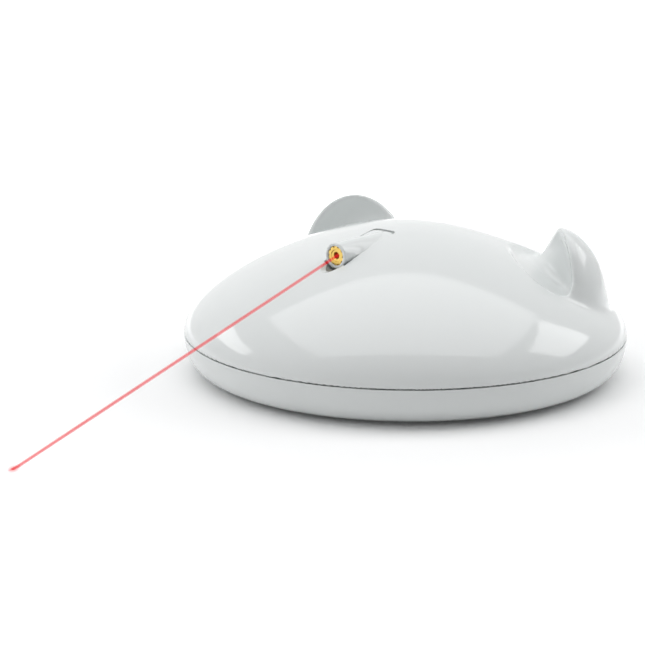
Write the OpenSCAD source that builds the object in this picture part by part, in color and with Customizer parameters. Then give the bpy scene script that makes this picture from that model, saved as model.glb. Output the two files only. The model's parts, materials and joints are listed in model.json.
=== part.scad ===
// Automatic cat laser toy: a low round body whose domed, eared top turns on its base and carries a
// small laser barrel. Millimetres. Origin on the floor under the middle, +Z up, laser towards -Y.

/* [Body] */
// Widest diameter of the body, at the seam
body_d = 150; // [146:1:165]
// Height of the top shell's rim above the floor
seam_z = 13.5; // [13:0.5:16]
// Height of the dome above its rim
dome_h = 36.7; // [36:0.1:42]
// Reach of the dome's flat crown, as the length of its curve handle
dome_crown = 28; // [20:1:34]
// Height of the dome's upright shoulder, as the length of its curve handle
dome_shoulder = 15; // [10:1:18]
// Running gap between the two shells, which shows as the seam
seam_gap = 0.4; // [0.3:0.1:0.8]
// Wall thickness of the two shells
wall_t = 2; // [1.6:0.1:2.4]
// Diameter of the flat underside
flat_d = 132; // [130:1:134]
// Height of the underside above the floor
foot_lift = 1; // [0.8:0.1:2]
// Thickness of the base's floor
floor_t = 2; // [1.8:0.1:2.6]

/* [Ears] */
// Radius of the upright egg whose back half is an ear
ear_r = 20; // [19.6:0.1:20.6]
// Half the height of that egg
ear_half_h = 27; // [26:0.1:28]
// Sideways place of the egg
ear_x = 42.3; // [41:0.1:43]
// Place of the egg behind the pivot
ear_y = 23.4; // [22.4:0.1:24.4]
// Height of the egg's top above the dome's crown
ear_above = 1; // [0.6:0.1:2]
// Distance of an ear's front behind the egg's middle
ear_front = 3.1; // [2.6:0.1:4]
// Turn of each ear towards the middle, degrees
ear_turn = 42; // [36:1:46]
// Depth of the scoop's floor under the dome's crown, at the egg's middle
scoop_depth = 16; // [15:0.1:16.4]

/* [Laser barrel] */
// Diameter of the barrel
barrel_d = 8.6; // [8.4:0.1:9.4]
// Distance of the barrel's nose in front of the pivot
barrel_nose = 36; // [35:0.5:40]
// Distance of the barrel's tail in front of the pivot
barrel_tail = 11.5; // [11:0.5:12.5]
// Depth of the barrel's top line under the dome's crown
barrel_sink = 1.2; // [0.8:0.1:1.6]
// Gap between the barrel and its slot
barrel_gap = 0.4; // [0.3:0.1:0.6]
// Nose-down tilt of the barrel, degrees
tilt_down = 8; // [0:1:10]
// Nose-up tilt of the barrel, degrees
tilt_up = 6; // [0:1:8]
// Diameter of the brass laser module
module_d = 6.5; // [6:0.1:7]
// Length of the laser module
module_len = 12; // [10:0.5:14]
// Diameter of the tilt pin
tilt_pin_d = 1.8; // [1.6:0.1:2]

/* [Battery bay] */
// Diameter of a cell
cell_d = 10.5; // [10.2:0.1:10.8]
// Length of a cell with its nub
cell_len = 44.5; // [43:0.5:46]
// Number of cells side by side
cell_n = 3; // [2:1:3]
// Space between neighbouring cells
cell_gap = 0.7; // [0.5:0.1:1]
// Length of a compressed contact spring
cell_spring_len = 4.7; // [3.5:0.1:6]
// Thickness of the battery door
door_t = 1.8; // [1.6:0.1:1.8]

/* [Drive] */
// Gear module
gear_m = 0.5; // [0.45:0.01:0.52]
// Teeth on the hub gear that turns the top
hub_teeth = 60; // [56:1:62]
// Teeth on each large wheel of a compound gear
wheel_teeth = 40; // [36:1:42]
// Teeth on each pinion
pinion_teeth = 10; // [10:1:11]
// Face width of each gear
gear_w = 3; // [2.6:0.1:3]
// Diameter of the motor can
motor_d = 24.4; // [20:0.1:25]
// Height of the motor can
motor_h = 12.3; // [12:0.1:13]
// Outer diameter of the centre post
post_d = 8; // [7:0.1:8.4]
// Thickness of the chassis plate
chassis_t = 1.8; // [1.6:0.1:2]

/* [Controls and feet] */
// Travel of the mode knob
knob_travel = 6; // [4:0.5:7]
// Diameter of a rubber foot
foot_d = 10; // [8:0.5:12]
// Distance of the feet from the middle
foot_place = 52; // [50:0.5:52]

/* [Hidden] */
$fn = 64;

// Clearances
run_gap = 0.05;      // radial gap of a running fit
push_gap = 0.02;     // radial gap of a pressed or glued fit
face_gap = 0.15;     // gap between faces that slide past each other
over = 1;            // how far a cut reaches past the face it opens

// Shell outlines, as four curve handles each
body_r = body_d / 2;
crown_z = seam_z + dome_h;
base_top = seam_z - seam_gap;
floor_z = foot_lift + floor_t;
flat_r = flat_d / 2;
dome_steps = 14;
base_steps = 10;
dome_curve = [[0, crown_z], [dome_crown, crown_z], [body_r, seam_z + dome_shoulder],
              [body_r, seam_z]];
base_drop = base_top - foot_lift;
base_flank = 0.55;
base_belly = 0.62;
base_curve = [[body_r, base_top], [body_r, base_top - base_flank * base_drop],
              [flat_r + base_belly * (body_r - flat_r), foot_lift], [flat_r, foot_lift]];
lip_t = 1.2;
lip_h = 2.2;
lip_gap = 0.8;
lip_r = body_r - wall_t - lip_gap;
lip_root = 3;        // how far the lip and its web reach below the seam
lip_web_h = 2;

// Battery bay
cell_pitch = cell_d + cell_gap;
plate_t = 0.4;
bay_wall = 1.4;
bay_y0 = 12;
bay_len = cell_len + cell_spring_len + 2 * plate_t;
bay_w = cell_n * cell_pitch;
cell_clear = 0.3;
cell_z = floor_z + cell_clear + cell_d / 2;
bay_roof = cell_z + cell_d / 2 + cell_clear;
nub_r = 2.6;
nub_h = 1;
contact_w = cell_d - 1;
spring_foot_r = 3.9;
spring_tip_r = 2.4;
door_lap = 0.3;      // how far the door reaches past the bay at each end
door_lip = 0.1;      // how far its free edge reaches past the bay
door_gap = 0.3;
door_hinge_gap = 0.7;
door_hinge_y = bay_y0 + bay_w + door_hinge_gap;
door_hinge_z = foot_lift + door_t / 2;
door_pin_r = 0.5;
door_pin_len = 1.6;
door_y0 = bay_y0 - door_lip;
door_half = bay_len / 2 + door_lap;
door_open = door_half + door_gap;
hinge_gap = 0.2;
finger_r = 6;
finger_h = 0.8;
groove_n = 4;
groove = [14, 0.9, 0.5];   // length, width and depth of a thumb groove
groove_pitch = 2;

// Heights of the drive, from the floor up
motor_clear = 1.1;
bay_clear = 0.4;
chassis_z = max(floor_z + motor_clear + motor_h, bay_roof + bay_wall + bay_clear);
motor_foot_z = chassis_z - motor_h;
chassis_top = chassis_z + chassis_t;
washer_t = 0.4;
washer_w = 3.4;
gear_gap = 0.8;
hub_foot = 0.6;      // height of the hub below its gear
level_a = chassis_top + washer_t + hub_foot;
level_b = level_a + gear_w + gear_gap;
level_c = level_b + gear_w + gear_gap;
bridge_gap = 1.2;
bridge_z = level_c + gear_w + bridge_gap;
bridge_t = 1.6;
bridge_top = bridge_z + bridge_t;
ring_board_t = 0.6;
ring_t = 0.3;
ring_top = bridge_top + ring_board_t + ring_t;
boss_z = bridge_top + bridge_gap;
hub_key_h = 3.2;
key_foot = 0.3;      // how far the key reaches down into the hub
boss_gap = 0.2;
post_gap = 0.4;
post_end_gap = 0.3;
post_top = boss_z - post_gap;
hub_top = boss_z + hub_key_h;

// Gear centres: the hub turns about the middle, and each next gear is one centre distance away
pitch_r = gear_m / 2;
hub_dist = (hub_teeth + pinion_teeth) * pitch_r;
wheel_dist = (wheel_teeth + pinion_teeth) * pitch_r;
gear_2_dir = 210;
gear_1_dir = 260;
motor_dir = 340;
gear_2_at = hub_dist * [cos(gear_2_dir), sin(gear_2_dir)];
gear_1_at = gear_2_at + wheel_dist * [cos(gear_1_dir), sin(gear_1_dir)];
motor_at = gear_1_at + wheel_dist * [cos(motor_dir), sin(motor_dir)];
gear_pin_r = 0.75;
pin_cap = 0.4;       // bridge left over a gear pin
pin_end_gap = 0.1;
pinion_clear_r = 3.6;
gear_sleeve_r = 1.7;
gear_lift = 0.2;
motor_shaft_r = 1;
shaft_foot = 2;      // how far above the motor's foot the shaft begins
shaft_tip = 0.5;
hub_r = 6.3;
key_r = 5.8;
key_half = 4.5;      // half the distance between the key's flats
boss_roof = 1.4;

// Chassis and bridge fixings
chassis_x = [-30, 19];
chassis_y = [-38, 4];
fix_r = 3.2;
fix_margin = 4;
pilot_depth = 6;
motor_boss_r = 3;
motor_boss_h = 1;
motor_hole_gap = 0.2;
motor_fix_x = 8.5;
motor_pilot_depth = 3;
end_cap_h = 1.5;
end_cap_step = 1;
terminal = [2, 0.5, 1];
terminal_x = 5;
terminal_in = 3.5;   // distance of a terminal inside the can's edge
bridge_legs = [[-30, -9], [-8, -36], [19.5, -6], [-18, 5.5]];
leg_r = 2.5;
leg_pad = 1.2;
ring_r = [10, 13];
ring_w = 1.4;
ring_margin = 1.1;   // board outside the outer slip ring
ring_in = 0.8;       // board inside the inner slip ring
bridge_bore_gap = 0.6;

// Screws: shank radius, shank length, head radius, head height
chassis_screw = [1.1, 7, 2.4, 1.4];
bridge_screw = [0.9, 8, 2, 1.2];
motor_screw = [0.9, 4.2, 1.9, 1];
board_screw = [0.9, 4, 1.9, 1.2];
brush_screw = [0.78, 5.6, 1.8, 1];
hole_gap = 0.3;      // radial gap of a clearance hole
slot_share = [1.2, 0.24, 0.4];   // cross slot: length and width by head radius, floor by head height

// Pivot screw up the centre post
pivot_screw_r = 1.5;
pivot_head_r = 2.8;
pivot_head_h = 2;
pivot_well_r = 3.3;
pivot_well_z = floor_z + 1.6;
pivot_washer_t = 0.4;
pivot_hole_gap = 0.2;
pivot_wall = 1.4;
pivot_end_gap = 0.5;
pivot_roof = 5.5;
pivot_screw_top = crown_z - pivot_roof;
boss_r = 8;
boss_neck_r = 4.5;

// Laser barrel
tilt_y = -20;
barrel_r = barrel_d / 2;
barrel_z = crown_z - barrel_sink - barrel_r;
slot_r = barrel_r + barrel_gap;
pocket_wall = 1.5;
slot_ease = 0.1;
tail_edge = 1.5;     // rounding of the barrel's tail
saddle_sink = 0.4;   // how far the barrel's flush back lies under the dome
pocket_r = slot_r + pocket_wall;
nose_drop = (barrel_nose + tilt_y) * sin(tilt_down);
pocket_z = barrel_z - slot_r - nose_drop - pocket_wall;
tilt_sink = 0.7;     // how far the tilt pin's axis lies inside the barrel's underside
tilt_z = barrel_z - barrel_r + tilt_sink;
tilt_pin_r = tilt_pin_d / 2;
pin_bite = 0.8;
tilt_pin_half = slot_r + pin_bite;
tail_swing = (crown_z - tilt_z) * sin(tilt_up);
slot_end = -barrel_tail + barrel_gap + tail_swing;
lug_r = 2.5;
lug_half = 2;
lug_gap = 0.5;
module_r = module_d / 2;
module_recess = 0.3;
module_y = -barrel_nose + module_recess;
flange_t = 0.8;
flange_r = module_r - 0.05;
thread_r = 2.65;
lens_ring_len = 2.2;
lens_bore_r = 1.1;
lens_ring_notches = 10;
notch = [0.5, 0.7];  // depth and width of a notch in the flange
lens_r = 2.2;
lens_t = 1.6;
lens_spring_r = 1.6;
diode_r = 2.5;
diode_seat = 2.6;    // depth of the diode's bore from the module's rear
diode_t = 1.4;
laser_board_size = [2.4, 9, 1];
board_hole_r = 0.4;
board_hole_y = 8;
wire_bore_r = 1.4;
wire_bore_len = 9;

// Brushes under the dome
brush_fix_x = 6.5;
brush_end = 2.6;     // block beyond each screw
brush_pilot_depth = 4;
brush_tip = [0.5, 1];
brush_pin = [0.8, 3.6];
brush_pin_foot = 0.8;
brush_lift = 1.3;
brush_margin = 0.4;
brush_y = 11.5;
brush_block_z = ring_top + brush_lift;
brush_block_h = 2.6;
brush_column_r = 2.6;

// Main board and mode knob
board_x = [24, 50];
board_y = [-37, -9];
board_lift = 3.2;
board_z = floor_z + board_lift;
board_t = 1.6;
board_fix = [[27, -34], [27, -12], [47, -12]];
board_post_r = 2.4;
board_corner_r = 1;
chip = [8, 5, 1.6];
chip_at = [33, -26];
driver = [5, 4, 1.4];
driver_at = [36, -14];
plug = [3, 7, 4];
plug_at = [29.5, -23];
can_r = 2.6;
can_h = 6;
can_at = [44, -31];
knob_at = [35, -19];
knob_half = [2.2, 1.7];
knob_sink = 0.3;     // how far the knob's face lies inside the underside
knob_collar = [1.6, 1, 0.7];
knob_stem = [2, 1.8, 1.6];
switch_half = [6.5, 2.6];
switch_lift = 1.1;
stem_gap = 0.1;
stem_end_gap = 0.35;

foot_dirs = [35, 145, 215, 325];
foot_sink = 1;
foot_wall = 1.4;
foot_edge = 0.5;     // step round the foot's lower edge

white_body = [0.93, 0.94, 0.94];
steel = [0.75, 0.76, 0.78];
copper = [0.85, 0.52, 0.32];
board_green = [0.1, 0.4, 0.22];
nylon = [0.93, 0.92, 0.86];
rubber_grey = [0.35, 0.36, 0.37];

// Point at share t of a curve with four handles, moved inwards by d
function curve_at(c, t) = pow(1 - t, 3) * c[0] + 3 * t * pow(1 - t, 2) * c[1]
    + 3 * t * t * (1 - t) * c[2] + pow(t, 3) * c[3];
function curve_run(c, t) = pow(1 - t, 2) * (c[1] - c[0]) + 2 * t * (1 - t) * (c[2] - c[1])
    + t * t * (c[3] - c[2]);
function inset_at(c, t, d) = let (u = curve_run(c, t) / norm(curve_run(c, t)))
    curve_at(c, t) - d * [-u[1], u[0]];

// Involute tooth: half angle at radius r of a gear with n teeth
tooth_share = 0.44;
pressure = 25;
addendum = 0.8;
dedendum = 1;
function inv(a) = tan(a) * 180 / PI - a;
function tooth_half(n, r) = let (rp = n * pitch_r, rb = rp * cos(pressure))
    tooth_share * 180 / n + inv(pressure) - inv(acos(min(1, rb / max(r, rb))));
function gear_ring(n) = let (rp = n * pitch_r,
    rs = [rp - dedendum * gear_m, rp, rp + addendum * gear_m])
    [for (i = [0 : n - 1], k = [0 : 5])
        let (r = rs[k < 3 ? k : 5 - k], s = k < 3 ? -1 : 1, a = 360 * i / n + s * tooth_half(n, r))
        r * [cos(a), sin(a)]];
// Turn of the second gear that puts its gap on the first gear's tooth
function mesh_turn(dir, turn, n1, n2) = dir + 180 - (0.5 - (dir - turn) * n1 / 360) * 360 / n2;

module gear(n, z, turn) {
    translate([0, 0, z]) rotate([0, 0, turn]) linear_extrude(gear_w) polygon(gear_ring(n));
}

module at(p, z = 0) { translate([p[0], p[1], z]) children(); }

module ring(r_out, r_in, h) {
    difference() {
        cylinder(r = r_out, h = h);
        translate([0, 0, -over]) cylinder(r = r_in, h = h + 2 * over);
    }
}

// Cross-head screw with its head on z = 0, shank downwards
module screw(size) {
    head_r = size[2];
    head_h = size[3];
    slot = [head_r * slot_share[0], head_r * slot_share[1], head_h];
    difference() {
        union() {
            cylinder(r = head_r, h = head_h);
            translate([0, 0, -size[1]]) cylinder(r = size[0], h = size[1]);
        }
        for (a = [0, 90]) rotate([0, 0, a])
            translate([-slot[0] / 2, -slot[1] / 2, head_h * slot_share[2]]) cube(slot);
    }
}

module rounded_box(x, y, r, h) {
    translate([x[0] + r, y[0], 0]) cube([x[1] - x[0] - 2 * r, y[1] - y[0], h]);
    translate([x[0], y[0] + r, 0]) cube([x[1] - x[0], y[1] - y[0] - 2 * r, h]);
    for (cx = [x[0] + r, x[1] - r], cy = [y[0] + r, y[1] - r])
        translate([cx, cy, 0]) cylinder(r = r, h = h);
}

// Everything under the dome's outer face, moved inwards by d and down to z = low
module dome_fill(d, low) {
    rotate_extrude($fn = 128) polygon(concat(
        [[0, low], [body_r - d, low]],
        [for (i = [dome_steps : -1 : 0]) inset_at(dome_curve, i / dome_steps, d)]));
}

// Everything over the base's outer face, moved inwards by d and up to z = high
module base_fill(d, high) {
    rotate_extrude($fn = 128) polygon(concat(
        [[0, high], [body_r - d, high]],
        [for (i = [0 : base_steps]) inset_at(base_curve, i / base_steps, d)],
        [[0, foot_lift + d]]));
}

// Ear: the back half of an upright egg, hollowed by a scoop that reaches into the dome before it
ear_z = crown_z + ear_above - ear_half_h;
ear_reach = norm([ear_x, ear_y]);
scoop_r = 1.04 * ear_r;
scoop_half_h = 1.06 * ear_half_h;
scoop_flat = 0.59;   // share of its width that the scoop is deep
scoop_z = ear_z + 0.8;
scoop_ahead = 2;
scoop_slope = 26;    // fall of the scoop's floor away from the pivot
egg_steps = 12;

function egg_outline(r, h) = [for (i = [-egg_steps : egg_steps]) let (a = 90 * i / egg_steps)
    [abs(i) == egg_steps ? 0 : r * cos(a), h * sin(a)]];

module ear_place(side) {
    translate([side * ear_x, ear_y, 0]) rotate([0, 0, -side * ear_turn]) children();
}

// One ear, moved inwards by d
module ear_half(side, d) {
    ear_place(side) difference() {
        translate([0, 0, ear_z]) rotate_extrude() polygon(egg_outline(ear_r - d, ear_half_h - d));
        translate([-body_r, ear_front + d - 2 * body_r, 0]) cube([2 * body_r, 2 * body_r, 2 * crown_z]);
    }
}

// One scoop, grown by d
module scoop(side, d) {
    difference() {
        ear_place(side) translate([0, -scoop_ahead, scoop_z]) scale([1, scoop_flat, 1])
            rotate_extrude() polygon(egg_outline(scoop_r + d, scoop_half_h + d));
        rotate([0, 0, 90 - side * (90 - atan2(ear_y, ear_x))])
            translate([ear_reach, 0, crown_z - scoop_depth]) rotate([0, scoop_slope, 0])
            translate([-body_r, -body_r, -d - body_r]) cube([2 * body_r, 2 * body_r, body_r]);
    }
}

// Turns its children about the tilt pin; a positive angle puts the nose down
module tilted(a) {
    translate([0, tilt_y, tilt_z]) rotate([a, 0, 0]) translate([0, -tilt_y, -tilt_z]) children();
}

// Round bar along the barrel's axis with a rounded tail
tail_steps = 4;
module barrel_bar(r, nose, tail) {
    translate([0, -nose, barrel_z]) rotate([-90, 0, 0]) rotate_extrude() polygon(concat(
        [[0, 0], [r, 0]],
        [for (i = [0 : tail_steps]) let (a = 90 * i / tail_steps)
            [r - tail_edge + tail_edge * cos(a), nose - tail - tail_edge + tail_edge * sin(a)]],
        [[0, nose - tail]]));
}

// Upright prism over the barrel from its axis up, half wide, from the nose end to y1
module over_barrel(half, y0, y1, high) {
    translate([0, 0, barrel_z]) linear_extrude(high - barrel_z) {
        translate([-half, y0]) square([2 * half, y1 - tail_edge - y0]);
        translate([-half + tail_edge, y1 - 2 * tail_edge]) square([2 * (half - tail_edge), 2 * tail_edge]);
        for (s = [-1, 1]) translate([s * (half - tail_edge), y1 - tail_edge]) circle(r = tail_edge);
    }
}

// Cylinder along Y from y0 to y1 at the barrel's height
module along_y(r, y0, y1) {
    translate([0, y1, barrel_z]) rotate([90, 0, 0]) cylinder(r = r, h = y1 - y0);
}

// Cylinder on the battery door's hinge axis, half long to each side of the middle
module along_hinge(r, half) {
    translate([-half, door_hinge_y, door_hinge_z]) rotate([0, 90, 0]) cylinder(r = r, h = 2 * half);
}

// Cylinder on the tilt pin's axis, half long to each side of the middle
module across_x(r, half) {
    translate([-half, tilt_y, tilt_z]) rotate([0, 90, 0]) cylinder(r = r, h = 2 * half);
}

module pocket_outside() {
    intersection() {
        dome_fill(0, seam_z);
        translate([-pocket_r, -body_r, pocket_z])
            cube([2 * pocket_r, body_r + slot_end + pocket_wall, crown_z - pocket_z]);
    }
}

module pocket_inside() {
    for (a = [-tilt_up, tilt_down]) tilted(a)
        barrel_bar(slot_r, barrel_nose + barrel_gap, barrel_tail - barrel_gap);
    barrel_bar(slot_r + slot_ease, body_r, barrel_tail - barrel_gap);
    over_barrel(slot_r + 2 * slot_ease, -body_r, slot_end, crown_z + barrel_r);
    across_x(lug_r + lug_gap, lug_half + lug_gap);
    translate([-lug_half - lug_gap, tilt_y - lug_r - lug_gap - slot_ease, tilt_z])
        cube([2 * (lug_half + lug_gap), 2 * (lug_r + lug_gap + slot_ease), barrel_z - tilt_z]);
}

// Hub's upper end with two flats, which turns the top shell's boss
module hub_key(grow, z, h) {
    intersection() {
        translate([0, 0, z]) cylinder(r = key_r + grow, h = h);
        translate([-hub_r, -key_half - grow, z]) cube([2 * hub_r, 2 * (key_half + grow), h]);
    }
}

// Everything under the top shell's outer face, moved inwards by d and down to z = low
module domed_skin(d, low) {
    difference() {
        union() {
            dome_fill(d, low);
            for (s = [-1, 1]) intersection() {
                ear_half(s, d);
                translate([-body_r, -body_r, low]) cube([2 * body_r, 2 * body_r, crown_z]);
            }
        }
        for (s = [-1, 1]) scoop(s, d);
    }
}

module top_shell() color(white_body) {
    difference() {
        union() {
            difference() {
                domed_skin(0, seam_z);
                domed_skin(wall_t, seam_z - over);
            }
            pocket_outside();
            intersection() {
                dome_fill(wall_t / 2, seam_z);
                union() {
                    translate([0, 0, boss_z]) cylinder(r = boss_r, h = hub_key_h + boss_roof);
                    translate([0, 0, boss_z]) cylinder(r = boss_neck_r, h = crown_z - boss_z);
                    for (s = [-1, 1]) at([s * brush_fix_x, brush_y], brush_block_z + brush_block_h)
                        cylinder(r = brush_column_r, h = crown_z - brush_block_z);
                }
            }
        }
        pocket_inside();
        hub_key(push_gap, boss_z - over, hub_key_h + over);
        cylinder(r = pivot_screw_r, h = pivot_screw_top);
        across_x(tilt_pin_r, tilt_pin_half);
        for (s = [-1, 1]) at([s * brush_fix_x, brush_y], brush_block_z)
            cylinder(r = brush_screw[0] + push_gap, h = brush_block_h + brush_pilot_depth);
    }
}

module base_shell() color(white_body) {
    difference() {
        union() {
            difference() {
                base_fill(0, base_top);
                base_fill(wall_t, base_top + over);
            }
            translate([0, 0, base_top - lip_root]) ring(lip_r, lip_r - lip_t, lip_root + lip_h);
            translate([0, 0, base_top - lip_root]) ring(body_r - wall_t / 2, lip_r - lip_t, lip_web_h);
            translate([0, 0, foot_lift]) cylinder(r = post_d / 2, h = post_top - foot_lift);
            translate([0, 0, foot_lift]) cylinder(r = pivot_well_r + pivot_wall,
                h = pivot_well_z + pivot_wall - foot_lift);
            for (x = chassis_x, y = chassis_y) translate([x, y, foot_lift + floor_t / 2])
                cylinder(r = fix_r, h = chassis_z - foot_lift - floor_t / 2);
            for (p = board_fix) at(p, foot_lift + floor_t / 2)
                cylinder(r = board_post_r, h = board_z - foot_lift - floor_t / 2);
            for (a = foot_dirs) rotate([0, 0, a]) translate([foot_place, 0, foot_lift + floor_t / 2])
                cylinder(r = foot_d / 2 + foot_wall, h = floor_t / 2 + foot_sink);
            translate([-bay_len / 2 - bay_wall, bay_y0 - bay_wall, foot_lift + floor_t / 2])
                cube([bay_len + 2 * bay_wall, bay_w + 2 * bay_wall,
                      bay_roof + bay_wall - foot_lift - floor_t / 2]);
        }
        // battery bay, door opening and hinge
        translate([-bay_len / 2, bay_y0, 0]) cube([bay_len, bay_w, bay_roof]);
        translate([-door_open, door_y0 - door_gap, 0])
            cube([2 * door_open, door_hinge_y - door_y0 + door_gap, floor_z]);
        along_hinge(door_t / 2 + hinge_gap, door_open);
        translate([-door_open, door_hinge_y - over, 0])
            cube([2 * door_open, over + door_t / 2 + hinge_gap, door_hinge_z]);
        along_hinge(door_pin_r + run_gap, door_open + door_pin_len);
        // finger notch at the door's free edge
        translate([0, door_y0 - door_gap, 0]) cylinder(r = finger_r, h = foot_lift + finger_h);
        // pivot screw
        translate([0, 0, -over]) cylinder(r = pivot_screw_r + pivot_hole_gap, h = post_top + 2 * over);
        translate([0, 0, -over]) cylinder(r = pivot_well_r, h = pivot_well_z + over);
        for (x = chassis_x, y = chassis_y) translate([x, y, chassis_z - pilot_depth])
            cylinder(r = chassis_screw[0], h = pilot_depth + over);
        for (p = board_fix) at(p, floor_z) cylinder(r = board_screw[0], h = board_lift + over);
        for (a = foot_dirs) rotate([0, 0, a]) translate([foot_place, 0, 0])
            cylinder(r = foot_d / 2 + push_gap, h = foot_lift + foot_sink);
        // slot for the mode knob
        at(knob_at, 0) translate([-knob_half[0] - knob_travel / 2 - face_gap,
            -knob_half[1] - face_gap, 0])
            cube([2 * knob_half[0] + knob_travel + 2 * face_gap, 2 * (knob_half[1] + face_gap),
                  floor_z + over]);
    }
}

module rubber_feet() color(rubber_grey)
    for (a = foot_dirs) rotate([0, 0, a]) translate([foot_place, 0, 0]) {
        cylinder(r = foot_d / 2 - foot_edge, h = foot_edge);
        translate([0, 0, foot_edge]) cylinder(r = foot_d / 2, h = foot_lift + foot_sink - foot_edge);
    }

module chassis_plate() color(nylon) difference() {
    translate([0, 0, chassis_z])
        rounded_box([chassis_x[0] - fix_margin, chassis_x[1] + fix_margin],
                    [chassis_y[0] - fix_margin, chassis_y[1] + fix_margin], fix_margin, chassis_t);
    translate([0, 0, chassis_z - over]) {
        cut_h = chassis_t + 2 * over;
        cylinder(r = post_d / 2 + face_gap, h = cut_h);
        at(motor_at) cylinder(r = motor_boss_r + motor_hole_gap, h = cut_h);
        for (s = [-1, 1]) at(motor_at + [s * motor_fix_x, 0])
            cylinder(r = motor_screw[0] + motor_hole_gap, h = cut_h);
        for (p = [gear_1_at, gear_2_at]) at(p) cylinder(r = gear_pin_r + push_gap, h = cut_h);
        for (x = chassis_x, y = chassis_y) translate([x, y, 0])
            cylinder(r = chassis_screw[0] + hole_gap, h = cut_h);
        for (p = bridge_legs) at(p) cylinder(r = bridge_screw[0], h = cut_h);
    }
}

module chassis_screws() color(steel)
    for (x = chassis_x, y = chassis_y) translate([x, y, chassis_top]) screw(chassis_screw);

module gear_bridge() color(nylon) difference() {
    union() {
        translate([0, 0, bridge_z]) {
            linear_extrude(bridge_t) polygon(bridge_legs);
            cylinder(r = ring_r[1] + ring_w / 2 + ring_margin + face_gap, h = bridge_t);
        }
        for (p = bridge_legs) {
            at(p, bridge_z) cylinder(r = leg_r + leg_pad, h = bridge_t);
            at(p, chassis_top) cylinder(r = leg_r, h = bridge_z + bridge_t - chassis_top);
        }
    }
    cut_h = bridge_t + 2 * over;
    translate([0, 0, bridge_z - over]) cylinder(r = hub_r + bridge_bore_gap, h = cut_h);
    at(motor_at, bridge_z - over) cylinder(r = pinion_clear_r, h = cut_h);
    for (p = [gear_1_at, gear_2_at]) at(p, bridge_z - over)
        cylinder(r = gear_pin_r + push_gap, h = over + bridge_t - pin_cap);
    for (p = bridge_legs) at(p, chassis_z)
        cylinder(r = bridge_screw[0], h = bridge_top + over - chassis_z);
}

module bridge_screws() color(steel)
    for (p = bridge_legs) at(p, bridge_top) screw(bridge_screw);

module gear_pins() color(steel)
    for (p = [gear_1_at, gear_2_at]) at(p, chassis_z)
        cylinder(r = gear_pin_r, h = bridge_top - pin_cap - pin_end_gap - chassis_z);

module thrust_washer() color(nylon)
    translate([0, 0, chassis_top]) ring(post_d / 2 + washer_w, post_d / 2 + 2 * run_gap, washer_t);

module slip_ring_board() color(board_green)
    translate([0, 0, bridge_top])
        ring(ring_r[1] + ring_w / 2 + ring_margin, ring_r[0] - ring_w / 2 - ring_in, ring_board_t);

module slip_rings() color(copper)
    for (r = ring_r) translate([0, 0, bridge_top + ring_board_t])
        ring(r + ring_w / 2, r - ring_w / 2, ring_t);

module motor_can() color(steel) at(motor_at, motor_foot_z + end_cap_h) difference() {
    can_len = motor_h - end_cap_h;
    union() {
        cylinder(r = motor_d / 2, h = can_len);
        cylinder(r = motor_boss_r, h = can_len + motor_boss_h);
    }
    translate([0, 0, -over]) cylinder(r = motor_shaft_r + face_gap, h = motor_h + 2 * over);
    for (s = [-1, 1]) translate([s * motor_fix_x, 0, can_len - motor_pilot_depth])
        cylinder(r = motor_screw[0], h = motor_pilot_depth + over);
}

module motor_end_cap() color([0.12, 0.12, 0.13]) at(motor_at, motor_foot_z) union() {
    cylinder(r = motor_d / 2 - end_cap_step, h = end_cap_h);
    for (s = [-1, 1]) translate([s * terminal_x - terminal[0] / 2, motor_d / 2 - terminal_in,
        -terminal[2] / 2]) cube(terminal);
}

module motor_screws() color(steel)
    for (s = [-1, 1]) at(motor_at + [s * motor_fix_x, 0], chassis_top) screw(motor_screw);

module main_board() color(board_green) difference() {
    translate([0, 0, board_z]) rounded_box(board_x, board_y, board_corner_r, board_t);
    for (p = board_fix) at(p, board_z - over)
        cylinder(r = board_screw[0] + hole_gap, h = board_t + 2 * over);
}

module board_components() color([0.13, 0.13, 0.15]) translate([0, 0, board_z + board_t]) {
    at(chip_at) cube(chip);
    at(can_at) cylinder(r = can_r, h = can_h);
    at(driver_at) cube(driver);
    at(plug_at) cube(plug);
}

module board_screws() color(steel)
    for (p = board_fix) at(p, board_z + board_t) screw(board_screw);

module slide_switch() color([0.6, 0.62, 0.64]) at(knob_at, floor_z + switch_lift) difference() {
    stem_room = [knob_travel + knob_stem[0] + 4 * stem_gap, knob_stem[1] + 4 * stem_gap];
    translate([-switch_half[0], -switch_half[1], 0])
        cube([2 * switch_half[0], 2 * switch_half[1], board_lift - switch_lift]);
    translate([-stem_room[0] / 2, -stem_room[1] / 2, -over])
        cube([stem_room[0], stem_room[1], knob_stem[2] + face_gap - switch_lift + stem_end_gap + over]);
}

module mode_knob() color([0.2, 0.21, 0.22]) at(knob_at, 0) {
    translate([-knob_half[0], -knob_half[1], foot_lift + knob_sink])
        cube([2 * knob_half[0], 2 * knob_half[1], floor_t - knob_sink + face_gap]);
    translate([-knob_half[0] - knob_collar[0], -knob_half[1] - knob_collar[1], floor_z + face_gap])
        cube([2 * (knob_half[0] + knob_collar[0]), 2 * (knob_half[1] + knob_collar[1]),
              knob_collar[2]]);
    translate([-knob_stem[0] / 2, -knob_stem[1] / 2, floor_z + face_gap]) cube(knob_stem);
}

// Side that each cell's nub points to
function cell_side(i) = i % 2 == 0 ? 1 : -1;
function cell_y(i) = bay_y0 + (i + 0.5) * cell_pitch;

module battery_cells() color([0.3, 0.33, 0.4]) for (i = [0 : cell_n - 1])
    translate([cell_side(i) * (bay_len / 2 - plate_t), cell_y(i), cell_z])
        rotate([0, -90 * cell_side(i), 0]) {
            cylinder(r = nub_r, h = nub_h);
            translate([0, 0, nub_h]) cylinder(r = cell_d / 2, h = cell_len - nub_h);
        }

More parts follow.
